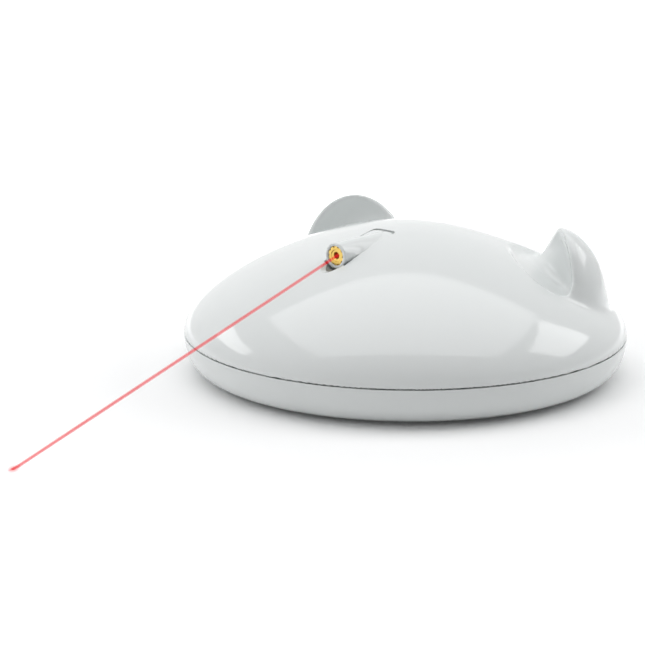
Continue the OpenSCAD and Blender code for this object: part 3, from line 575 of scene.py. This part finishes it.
def turned_tree():
    """Turns the points of a profile about the Z axis into a closed skin."""
    tree, given = new_tree("turned_tree", {
        "Profile": "Object", "Rows": "Int", "Steps": "Int", "Material": "Material"})
    sheet = add_node(tree, "GeometryNodeMeshGrid", {
        "Vertices X": maths(tree, "ADD", given["Steps"], 1), "Vertices Y": given["Rows"]})
    index = add_node(tree, "GeometryNodeInputIndex").outputs[0]
    column = maths(tree, "FLOOR", maths(tree, "DIVIDE", index, given["Rows"]))
    turn = maths(tree, "MULTIPLY", maths(tree, "DIVIDE", column, given["Steps"]), 2 * math.pi)
    outline = add_node(tree, "GeometryNodeObjectInfo", {"Object": given["Profile"]})
    pick = add_node(tree, "GeometryNodeSampleIndex", {
        "Geometry": outline.outputs["Geometry"],
        "Value": add_node(tree, "GeometryNodeInputPosition").outputs[0],
        "Index": maths(tree, "MODULO", index, given["Rows"])}, data_type="FLOAT_VECTOR")
    point = add_node(tree, "ShaderNodeSeparateXYZ", {0: pick.outputs[0]}).outputs
    moved = add_node(tree, "GeometryNodeSetPosition", {
        "Geometry": sheet.outputs["Mesh"],
        "Position": on_circle(tree, turn, point["X"], point["Z"])})
    closed = add_node(tree, "GeometryNodeMergeByDistance", {
        "Geometry": moved.outputs["Geometry"], "Distance": WELD})
    return end_tree(tree, given, closed.outputs[0])


def repeat_tree():
    """Places copies of a piece round the Z axis, each second one swung on and the rest back."""
    tree, given = new_tree("repeat_tree", {
        "Piece": "Object", "Count": "Int", "Radius": "Float", "Start": "Float", "Swing": "Float",
        "Material": "Material"})
    index = add_node(tree, "GeometryNodeInputIndex").outputs[0]
    share = maths(tree, "DIVIDE", index, given["Count"])
    turn = maths(tree, "MULTIPLY_ADD", share, 2 * math.pi, given["Start"])
    side = maths(tree, "MULTIPLY_ADD", maths(tree, "MODULO", index, 2), 2, -1)
    turn = maths(tree, "MULTIPLY_ADD", side, given["Swing"], turn)
    points = add_node(tree, "GeometryNodePoints", {
        "Count": given["Count"], "Position": on_circle(tree, turn, given["Radius"])})
    piece = add_node(tree, "GeometryNodeObjectInfo", {"Object": given["Piece"]})
    copies = add_node(tree, "GeometryNodeInstanceOnPoints", {
        "Points": points.outputs[0], "Instance": piece.outputs["Geometry"],
        "Rotation": add_node(tree, "ShaderNodeCombineXYZ", {"Z": turn}).outputs[0]})
    return end_tree(tree, given, copies.outputs[0])


def run_tree(name, build, values):
    """Runs a tree with its inputs by name and returns the result as one plain mesh."""
    tree = bpy.data.node_groups.get(build.__name__) or build()
    obj = new_object(name, bpy.data.meshes.new(name))
    step = obj.modifiers.new("shape", "NODES")
    step.node_group = tree
    for socket in tree.interface.items_tree:
        if socket.in_out == "INPUT":
            step[socket.identifier] = values[socket.name]
    if not apply_step(obj, step):
        raise RuntimeError(f"the node tree of {name} made nothing")
    return obj


def repeat_round(name, piece, count, radius, start, swing, slot):
    """Copies of a piece round the Z axis, as one object; the piece itself is dropped."""
    obj = run_tree(name, repeat_tree, {
        "Piece": piece, "Count": count, "Radius": radius, "Start": start, "Swing": swing,
        "Material": finishes[slot]})
    bpy.data.objects.remove(piece)
    return obj


# Materials ------------------------------


def shader(name):
    """A new material with its tree and its main shader."""
    material = bpy.data.materials.new(name)
    material.use_nodes = True
    return material, material.node_tree, material.node_tree.nodes["Principled BSDF"]


def own_place(tree):
    """The object's own coordinates."""
    return add_node(tree, "ShaderNodeTexCoord").outputs["Object"]


def noise(tree, scale, detail=2.0, stretch=(1, 1, 1)):
    """Noise over the object's own coordinates."""
    place = add_node(tree, "ShaderNodeMapping", {"Vector": own_place(tree), "Scale": stretch})
    return add_node(tree, "ShaderNodeTexNoise", {
        "Vector": place.outputs[0], "Scale": scale, "Detail": detail}).outputs["Fac"]


def spread(tree, value, low, high):
    """Spreads a value from 0 to 1 over a range."""
    return add_node(tree, "ShaderNodeMapRange", {
        "Value": value, "To Min": low, "To Max": high}).outputs["Result"]


def two_colours(tree, main, value, first, second, start=0.0, end=1.0):
    """Drives the base colour from a value that runs between two colours."""
    ramp = add_node(tree, "ShaderNodeValToRGB", {"Fac": value})
    for stop, colour, place in zip(ramp.color_ramp.elements, (first, second), (start, end)):
        stop.color = (*colour, 1)
        stop.position = place
    set_inputs(tree, main, {"Base Color": ramp.outputs["Color"]})


def vary_colour(tree, main, colour, change, scale):
    """Lets the colour drift a little over the surface."""
    two_colours(tree, main, noise(tree, scale), [c * (1 - change) for c in colour], colour)


def vary_roughness(tree, main, low, high, scale):
    """Lets the roughness drift between two values."""
    set_inputs(tree, main, {"Roughness": spread(tree, noise(tree, scale, detail=4.0), low, high)})


def add_bump(tree, main, height, distance):
    """Adds a relief from a height output."""
    bump = add_node(tree, "ShaderNodeBump", {
        "Height": height, "Distance": distance, "Strength": 1.0})
    set_inputs(tree, main, {"Normal": bump.outputs["Normal"]})


def plastic(name, colour, rough, grain, relief, change=0.03):
    """Moulded plastic: a faint drift of colour and gloss, and the mould's fine relief."""
    material, tree, main = shader(name)
    vary_colour(tree, main, colour, change, scale=35)
    vary_roughness(tree, main, rough * 0.85, rough * 1.15, scale=180)
    add_bump(tree, main, noise(tree, grain, detail=3.0), relief)
    return material


def metal(name, colour, rough, streak, stretch=(1, 1, 1)):
    """Turned or plated metal with fine streaks."""
    material, tree, main = shader(name)
    vary_colour(tree, main, colour, change=0.12, scale=260)
    streaks = noise(tree, streak, stretch=stretch)
    set_inputs(tree, main, {
        "Metallic": 1, "Roughness": spread(tree, streaks, rough * 0.8, rough * 1.3)})
    add_bump(tree, main, streaks, distance=0.01 * MM)
    return material


def circuit_board(name, mask, trace):
    """Board with faint traces and pads under the solder mask."""
    material, tree, main = shader(name)
    cells = add_node(tree, "ShaderNodeTexVoronoi", {"Vector": own_place(tree), "Scale": 420},
                     feature="DISTANCE_TO_EDGE", distance="MANHATTAN")
    two_colours(tree, main, cells.outputs["Distance"], trace, mask, start=0.05,
                end=0.09)
    vary_roughness(tree, main, low=0.3, high=0.42, scale=200)
    return material


def glass(name, colour, glow):
    """Coated lens of the laser, with a faint glow."""
    material, tree, main = shader(name)
    vary_colour(tree, main, colour, change=0.3, scale=900)
    vary_roughness(tree, main, low=0.03, high=0.08, scale=300)
    set_inputs(tree, main, {"Transmission Weight": 0.4, "Emission Color": (*glow, 1),
                            "Emission Strength": 0.15})
    return material


def make_finishes(finish):
    """One material for each of the record's slots.

    Plastic: colour, roughness, scale and depth of its relief, drift of its colour. Metal: colour,
    roughness, scale and stretch of its streaks.
    """
    kinds = {
        "gloss_white": (plastic, finish.white, 0.09, 900, 0.002 * MM, 0.015),
        "rubber": (plastic, (0.05, 0.05, 0.055), 0.75, 1800, 0.06 * MM, 0.2),
        "nylon": (plastic, (0.72, 0.70, 0.62), 0.42, 700, 0.02 * MM, 0.06),
        "steel": (metal, (0.55, 0.56, 0.58), 0.28, 900, (1, 1, 6)),
        "copper": (metal, (0.72, 0.36, 0.2), 0.25, 1200),
        "circuit_board": (circuit_board, (0.02, 0.15, 0.05), (0.07, 0.3, 0.12)),
        "black_plastic": (plastic, (0.025, 0.025, 0.028), 0.5, 1500, 0.03 * MM, 0.2),
        "switch_metal": (metal, (0.48, 0.49, 0.5), 0.35, 700),
        "cell_jacket": (plastic, (0.06, 0.08, 0.13), 0.3, 300, 0.01 * MM, 0.15),
        "brass": (metal, finish.brass, 0.3, 1600, (1, 4, 1)),
        "lens": (glass, (0.22, 0.015, 0.02), (1, 0.05, 0.05)),
    }
    return {slot: kind(slot, tuple(paint), *rest) for slot, (kind, paint, *rest) in kinds.items()}


finishes = {}


# Operators ------------------------------


class ToyOperator:
    """What the toy's operators share."""

    bl_options = {"REGISTER", "UNDO"}

    @classmethod
    def poll(cls, context):
        return context.scene is not None


class TOY_OT_finishes(ToyOperator, Operator):
    """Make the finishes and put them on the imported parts"""

    bl_idname = "toy.finishes"
    bl_label = "Finishes"

    def execute(self, context):
        finishes.update(make_finishes(context.scene.toy_finish))
        for part in frame["record"]["subparts"]:
            node = NODES[part["node"]]
            node.data.materials.clear()
            node.data.materials.append(finishes[part["material_slot"]])
        return {"FINISHED"}


class TOY_OT_top_shell(ToyOperator, Operator):
    """Build the domed top shell with its ears and the barrel's slot"""

    bl_idname = "toy.top_shell"
    bl_label = "Top shell"

    def execute(self, context):
        size = context.scene.toy_sizes
        under = 5 * MM
        coarse = 1.5
        shell = skin_solid("top_skin", size, 0, size.seam_z, size.skin_cell)
        room = skin_solid("top_room", size, size.wall / 2, size.seam_z - under,
                          coarse * size.skin_cell)
        combine(room, cad_copy("top_shell"))
        combine(shell, room)
        for cut in slot_solids(size):
            combine(shell, cut)
        shell.name = "domed_top"
        finish_piece(shell, "top", "gloss_white", "top_shell")
        return {"FINISHED"}


def rounding(r, z, edge, start):
    """Points of a quarter turn about (r, z)."""
    return [(r + edge * math.cos(a), z + edge * math.sin(a))
            for a in np.linspace(start, start + math.pi / 2, ARC_POINTS)]


def barrel_profile(radius, nose, tail, edge, nose_edge=0.0):
    """Half outline of a round bar with rounded ends, as (radius, distance from its nose)."""
    long = nose - tail
    front = [(radius, 0)]
    if nose_edge:
        front = rounding(radius - nose_edge, nose_edge, nose_edge, -math.pi / 2)
    return [(0, 0)] + front + rounding(radius - edge, long - edge, edge, 0) + [(0, long)]


def along_barrel(name, profile, nose, tilt=0.0):
    """A bar turned from its profile, laid along the barrel's axis and tilted about its pin."""
    steps = 96
    pin = TILT["pos_m"]
    about = Matrix.Translation(pin) @ Matrix.Rotation(tilt, 4, "X")
    about = about @ Matrix.Translation([-c for c in pin])
    return revolve(name, profile, steps, about @ barrel_lay(nose))


def barrel_lay(nose):
    """Lays what stands on the floor along the barrel's axis, its foot at the nose."""
    return Matrix.Translation((0, -nose, BARREL_Z)) @ Matrix.Rotation(math.radians(-90), 4, "X")


def rounded_end(half, front, back, edge):
    """Outline in plan of a bar with two rounded rear corners."""
    points = [(-half, front), (half, front)]
    for middle, start in ((half - edge, 0), (edge - half, math.pi / 2)):
        points += rounding(middle, back - edge, edge, start)
    return points


def slot_solids(size):
    """The solids that cut the barrel's slot into the dome."""
    gap = size.slot_gap
    ease = 0.05 * MM
    edge = size.tail_edge
    low, high = [math.radians(a) for a in TILT["range_deg"]]
    crown = size.seam_z + size.dome_h
    back = BARREL_HIGH.y + gap + (crown - TILT["pos_m"][2]) * math.sin(-low)
    bars = [along_barrel("slot_bar", barrel_profile(BARREL_R + gap, NOSE + gap, TAIL - gap, edge),
                         NOSE + gap, tilt) for tilt in (low, high)]
    groove = barrel_profile(BARREL_R + gap + ease, size.body_r, TAIL - gap, edge)
    bars.append(along_barrel("slot_groove", groove, size.body_r))
    mouth = rounded_end(BARREL_R + gap + 2 * ease, -size.body_r, back, edge)
    bars.append(prism("slot_mouth", mouth, BARREL_Z, crown + BARREL_R))
    return bars


class TOY_OT_base_shell(ToyOperator, Operator):
    """Build the round base shell with its smooth flank"""

    bl_idname = "toy.base_shell"
    bl_label = "Base shell"

    def execute(self, context):
        size = context.scene.toy_sizes
        over = 2 * MM
        lip_back = 1.5 * MM
        flat_back = 0.3 * MM
        outer = inset_curve(base_handles(size), 0)
        high = BASE_HIGH.z + over
        lip_r = size.body_r - lip_back
        shell = revolve("round_base", [(0, high), (lip_r, high), (lip_r, outer[0][1])] + outer
                        + [(0, BASE_LOW.z)])
        inner = inset_curve(base_handles(size), size.wall / 2)
        flat = size.flat_r - flat_back
        high += over
        room = revolve("base_room", [(0, high), (inner[0][0], high)] + inner
                       + [(flat, inner[-1][1]), (flat, -over), (0, -over)])
        combine(room, cad_copy("base_shell"))
        combine(shell, room)
        finish_piece(shell, "base", "gloss_white", "base_shell")
        return {"FINISHED"}


class TOY_OT_barrel(ToyOperator, Operator):
    """Build the laser barrel and the saddle that runs into the dome"""

    bl_idname = "toy.barrel"
    bl_label = "Laser barrel"

    def execute(self, context):
        size = context.scene.toy_sizes
        crown = size.seam_z + size.dome_h
        skin = 0.5 * MM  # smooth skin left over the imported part's own bores
        over = MM
        zone_inset = 2 * MM
        lug_from = 0.7  # by the barrel's radius, under its axis
        zone_top = BARREL_Z - lug_from * BARREL_R
        side = 2 * BARREL_R
        outer = barrel_profile(BARREL_R, NOSE, TAIL, size.tail_edge, size.nose_edge)
        barrel = along_barrel("laser_barrel", outer, NOSE)
        sunk = inset_curve(dome_handles(size), size.saddle_sink)
        saddle = revolve("saddle", [(0, sunk[0][1])] + sunk[1:] + [(0, sunk[-1][1])])
        plan = rounded_end(size.saddle_half, -NOSE + 2 * size.tail_edge, -TAIL, size.tail_edge)
        combine(saddle, prism("over_barrel", plan, BARREL_Z, crown), "INTERSECT")
        combine(barrel, saddle, "UNION")
        front, back = -NOSE + zone_inset, -TAIL - zone_inset
        zone = [(-side, front), (side, front), (side, back), (-side, back)]
        lug = cad_copy("barrel_shell")
        combine(lug, prism("lug_zone", zone, BARREL_LOW.z - over, zone_top), "INTERSECT")
        combine(barrel, lug, "UNION")
        core = barrel_profile(BARREL_R - skin, NOSE + over, TAIL + skin, size.tail_edge)
        bores = along_barrel("barrel_bores", core, NOSE + over)
        combine(bores, cad_copy("barrel_shell"))
        combine(barrel, bores)
        pin_gap = 0.1 * MM
        pin_steps = 48
        pin_r = (PIN_HIGH.z - PIN_LOW.z) / 2 + pin_gap
        across = Matrix.Translation(TILT["pos_m"]) @ Matrix.Rotation(math.radians(90), 4, "Y")
        bore = [(0, -side), (pin_r, -side), (pin_r, side), (0, side)]
        combine(barrel, revolve("pin_bore", bore, pin_steps, across))
        finish_piece(barrel, "barrel", "gloss_white", "barrel_shell")
        return {"FINISHED"}


class TOY_OT_lens_ring(ToyOperator, Operator):
    """Build the notched brass ring that holds the laser's lens"""

    bl_idname = "toy.lens_ring"
    bl_label = "Lens ring"

    def execute(self, context):
        flange = (RING_HIGH.z - RING_LOW.z) / 2
        deep = RING_HIGH.y - RING_LOW.y
        thick = 0.8 * MM
        neck = 2.62 * MM
        bore = 1.1 * MM
        edge = 0.12 * MM
        step = 0.25 * MM  # how deep the middle is sunk, and the radii of its edge
        step_in, step_out = 1.9 * MM, 2.05 * MM
        widening = 0.15 * MM
        over = MM
        ring_steps, bore_steps = 128, 96
        profile = [(0, step), (step_in, step), (step_out, 0)]
        profile += rounding(flange - edge, edge, edge, -math.pi / 2)
        profile += [(flange, thick), (neck, thick), (neck, deep), (0, deep)]
        ring = revolve("brass_ring", profile, ring_steps)
        hole = [(0, -over), (bore + widening, -over), (bore + widening, step),
                (bore, step + widening), (bore, deep + over), (0, deep + over)]
        combine(ring, revolve("ring_bore", hole, bore_steps))
        count = 10
        half = 0.35 * MM  # half a notch's width, its reach and how round its floor is
        inwards, outwards, swell = -0.3 * MM, 0.5 * MM, 0.2 * MM
        notch = [(outwards, half), (inwards, half)]
        notch += [(inwards + swell * math.cos(a), half * math.sin(a))
                  for a in np.linspace(math.pi / 2, 3 * math.pi / 2, ARC_POINTS)[1:-1]]
        notch += [(inwards, -half), (outwards, -half)]
        below = 0.05 * MM
        cuts = repeat_round("notches", prism("notch", notch, -over, thick + below), count, flange,
                            0.0, 0.0, "brass")
        combine(ring, cuts)
        ring.data.transform(barrel_lay(-RING_LOW.y))
        finish_piece(ring, "barrel", "brass", "lens_ring", 30)
        return {"FINISHED"}


class TOY_OT_feet(ToyOperator, Operator):
    """Build the four rubber feet"""

    bl_idname = "toy.feet"
    bl_label = "Rubber feet"

    def execute(self, context):
        size = context.scene.toy_sizes
        radius = size.foot_r
        edge = 0.5 * MM
        dish = 0.2 * MM
        dish_back, rim_back = 3, 2.4  # by edge
        steps = 64
        count = 4
        start, swing = math.radians(45), math.radians(10)
        profile = [(0, dish), (radius - dish_back * edge, dish), (radius - rim_back * edge, 0)]
        profile += rounding(radius - edge, edge, edge, -math.pi / 2)
        profile += [(radius, FEET_HIGH.z), (0, FEET_HIGH.z)]
        feet = repeat_round("soft_feet", revolve("foot", profile, steps), count, size.foot_place,
                            start, swing, "rubber")
        finish_piece(feet, "base", "rubber", "rubber_feet", 35)
        return {"FINISHED"}


class TOY_OT_beam(ToyOperator, Operator):
    """Lay the laser's beam and its spot of light on the floor"""

    bl_idname = "toy.beam"
    bl_label = "Laser beam"

    def execute(self, context):
        studio = context.scene.toy_studio
        inside = MM
        past = 1.5  # the beam runs on under the floor
        steps = 24
        start = Vector((0, RING_LOW.y + inside, BARREL_Z))
        end = Vector((studio.dot_x, studio.dot_y, 0))
        run = end - start
        long = past * run.length
        thin = studio.beam_r
        lay = Matrix.Translation(start) @ run.to_track_quat("Z", "Y").to_matrix().to_4x4()
        beam = revolve("beam", [(0, 0), (thin, 0), (thin, long), (0, long)], steps, lay)
        tree, fade = laser_light(context, beam, "laser_beam", studio.beam_cover)
        facing = add_node(tree, "ShaderNodeLayerWeight", {"Blend": 0.5})
        tree.links.new(maths(tree, "SUBTRACT", 1, facing.outputs["Facing"]), fade)

        wide, deep, lift, cover = 3.2 * MM, 6.5 * MM, 0.1 * MM, 0.95
        rim = [(wide * math.cos(a), deep * math.sin(a), lift)
               for a in np.linspace(0, 2 * math.pi, 2 * steps, endpoint=False)]
        dot = made_of("laser_dot", rim, [tuple(range(2 * steps))])
        dot.location = end
        dot.rotation_euler.z = studio.camera_turn
        tree, fade = laser_light(context, dot, "laser_spot", cover)
        scale = add_node(tree, "ShaderNodeVectorMath", {0: own_place(tree), 1: (wide, deep, 1)},
                         operation="DIVIDE")
        far = add_node(tree, "ShaderNodeVectorMath", {0: scale.outputs[0]}, operation="LENGTH")
        tree.links.new(maths(tree, "SUBTRACT", 1, far.outputs["Value"]), fade)
        return {"FINISHED"}


def laser_light(context, obj, name, cover):
    """Makes an object of the stage, carried by the top, into light that only the camera sees."""
    material, tree, main = shader(name)
    tree.nodes.remove(main)
    light = add_node(tree, "ShaderNodeEmission", {
        "Color": (*context.scene.toy_finish.beam, 1),
        "Strength": context.scene.toy_studio.beam_light})
    power = add_node(tree, "ShaderNodeMath", {1: 2}, operation="POWER", use_clamp=True)
    rays = add_node(tree, "ShaderNodeLightPath")
    amount = maths(tree, "MULTIPLY", power.outputs[0], cover)
    amount = maths(tree, "MULTIPLY", amount, rays.outputs["Is Camera Ray"])
    clear = add_node(tree, "ShaderNodeBsdfTransparent")
    mix = add_node(tree, "ShaderNodeMixShader", {
        0: amount, 1: clear.outputs[0], 2: light.outputs[0]})
    set_inputs(tree, tree.nodes["Material Output"], {"Surface": mix.outputs[0]})
    obj.data.materials.clear()
    obj.data.materials.append(material)
    body = bpy.data.objects["body:top"]
    obj.parent = body
    obj.matrix_parent_inverse = body.matrix_world.inverted()
    return tree, power.inputs[0]


# Lamps: name, direction (right, towards the camera, up), width and height by distance, the
# property with their brightness, their share of it, and whether the gloss shows them
LAMPS = (
    ("overhead", (0, -0.12, 1), (1.4, 0.95), "overhead", 1, True),
    ("left_box", (-0.83, -0.31, 0.47), (0.5, 0.2), "side_boxes", 1, True),
    ("right_box", (0.76, -0.2, 0.6), (0.5, 0.4), "side_boxes", 1, True),
    ("front_fill", (-0.35, 0.45, 1.2), (1, 1), "fill", 0.8, False),
    ("left_fill", (-0.9, 0.25, 0.4), (1, 1), "fill", 1, False),
)


class TOY_OT_stage(ToyOperator, Operator):
    """Set up the floor, the lamps and the camera"""

    bl_idname = "toy.stage"
    bl_label = "Studio"

    def execute(self, context):
        studio = context.scene.toy_studio
        scene = context.scene
        scene.view_settings.view_transform = "Standard"
        place_camera(scene, studio)
        make_world(scene, studio)
        make_floor()
        for name, towards, wide, level, share, glossy in LAMPS:
            add_lamp(name, studio, towards, wide, share * getattr(studio, level), glossy)
        return {"FINISHED"}


def view_axes(studio):
    """Unit vectors to the camera's right, towards it along the floor, and up."""
    cos, sin = math.cos(studio.camera_turn), math.sin(studio.camera_turn)
    return Vector((cos, sin, 0)), Vector((sin, -cos, 0)), Vector((0, 0, 1))


def place_camera(scene, studio):
    """Puts the camera where the photograph was taken from."""
    right, near, high = view_axes(studio)
    back = math.cos(studio.camera_rise) * near + math.sin(studio.camera_rise) * high
    up = back.cross(right)
    data = bpy.data.cameras.new("camera")
    data.sensor_width = 36
    data.lens = data.sensor_width * studio.focal_px / studio.picture_px
    data.clip_end = 10
    camera = bpy.data.objects.new("camera", data)
    scene.collection.objects.link(camera)
    aim = back + studio.aim_right * right + studio.aim_up * up
    place = Vector((0, 0, TOP_LOW.z)) + studio.camera_far * aim
    turned = Matrix((right, up, back)).transposed().to_4x4()
    camera.matrix_world = Matrix.Translation(place) @ turned
    scene.camera = camera


def make_world(scene, studio):
    """Walls that are lighter behind the toy, and white where the camera or a mirror sees them."""
    world = bpy.data.worlds.new("studio")
    scene.world = world
    world.use_nodes = True
    tree = world.node_tree
    place = add_node(tree, "ShaderNodeTexCoord").outputs["Generated"]
    across = add_node(tree, "ShaderNodeVectorMath", {0: place, 1: -view_axes(studio)[1]},
                      operation="DOT_PRODUCT")
    light = add_node(tree, "ShaderNodeMapRange", {
        "Value": across.outputs["Value"], "From Min": -1, "To Min": studio.wall_front,
        "To Max": studio.wall_back})
    walls = tree.nodes["Background"]
    set_inputs(tree, walls, {"Color": (0.97, 0.985, 1, 1), "Strength": light.outputs["Result"]})
    white = add_node(tree, "ShaderNodeBackground", {"Color": (1, 1, 1, 1)})
    mix = add_node(tree, "ShaderNodeMixShader", {
        0: seen_rays(tree), 1: walls.outputs[0], 2: white.outputs[0]})
    set_inputs(tree, tree.nodes["World Output"], {"Surface": mix.outputs[0]})


def seen_rays(tree):
    """One where a ray comes from the camera, a mirror or glass."""
    rays = add_node(tree, "ShaderNodeLightPath").outputs
    seen = maths(tree, "MAXIMUM", rays["Is Camera Ray"], rays["Is Glossy Ray"])
    return maths(tree, "MAXIMUM", seen, rays["Is Transmission Ray"])


def make_floor():
    """A pale floor that keeps the toy's shadow and turns white away from it."""
    half = 3.0
    corners = [(-half, -half, 0), (half, -half, 0), (half, half, 0), (-half, half, 0)]
    floor = made_of("floor", corners, [(0, 1, 2, 3)])
    material, tree, main = shader("pale_floor")
    far = add_node(tree, "ShaderNodeVectorMath", {0: own_place(tree)}, operation="LENGTH")
    white = add_node(tree, "ShaderNodeMapRange", {
        "Value": far.outputs["Value"], "From Min": 0.09, "From Max": 0.28, "To Min": 0.03,
        "To Max": 0.7}, interpolation_type="SMOOTHSTEP")
    set_inputs(tree, main, {
        "Base Color": (0.97, 0.97, 0.97, 1), "Roughness": 0.9, "Specular IOR Level": 0,
        "Emission Color": (1, 1, 1, 1),
        "Emission Strength": maths(tree, "MULTIPLY", white.outputs["Result"], seen_rays(tree))})
    floor.data.materials.append(material)


def add_lamp(name, studio, towards, wide, bright, glossy):
    """A soft box in a direction given as right, towards the camera and up."""
    data = bpy.data.lights.new(name, "AREA")
    data.shape = "RECTANGLE"
    data.size, data.size_y = [studio.lamp_far * side for side in wide]
    data.energy = bright * math.pi * data.size * data.size_y
    right, near, up = view_axes(studio)
    out = towards[0] * right + towards[1] * near + towards[2] * up
    out.normalize()
    steep = 0.9
    across = up.cross(out) if abs(out.z) < steep else right
    across.normalize()
    lamp = bpy.data.objects.new(name, data)
    turned = Matrix((across, out.cross(across), out)).transposed().to_4x4()
    lamp.matrix_world = Matrix.Translation(studio.lamp_far * out) @ turned
    lamp.visible_glossy = glossy
    bpy.context.scene.collection.objects.link(lamp)


class TOY_PT_panel(Panel):
    """Sizes, finishes and pieces of the toy"""

    bl_idname = "TOY_PT_panel"
    bl_label = "Cat laser toy"
    bl_space_type = "VIEW_3D"
    bl_region_type = "UI"
    bl_category = "Laser toy"

    def draw(self, context):
        scene = context.scene
        for group in (scene.toy_sizes, scene.toy_finish, scene.toy_studio):
            for name in group.__annotations__:
                self.layout.prop(group, name)
        for operator in OPERATORS:
            self.layout.operator(operator.bl_idname)


GROUPS = {"toy_sizes": ToySizes, "toy_finish": ToyFinish, "toy_studio": Studio}
OPERATORS = (TOY_OT_stage, TOY_OT_finishes, TOY_OT_base_shell, TOY_OT_feet, TOY_OT_top_shell,
             TOY_OT_barrel, TOY_OT_lens_ring, TOY_OT_beam)


def register():
    """Registers the toy's properties, operators and panel."""
    for name, group in GROUPS.items():
        bpy.utils.register_class(group)
        setattr(bpy.types.Scene, name, PointerProperty(type=group))
    for item in OPERATORS + (TOY_PT_panel,):
        bpy.utils.register_class(item)


def unregister():
    """Takes the toy's properties, operators and panel away again."""
    for item in reversed(OPERATORS + (TOY_PT_panel,)):
        bpy.utils.unregister_class(item)
    for name, group in GROUPS.items():
        delattr(bpy.types.Scene, name)
        bpy.utils.unregister_class(group)


def main():
    """Builds the toy and its studio."""
    register()
    for operator in OPERATORS:
        section, name = operator.bl_idname.split(".")
        getattr(getattr(bpy.ops, section), name)()
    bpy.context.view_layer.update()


if __name__ == "__main__":
    main()
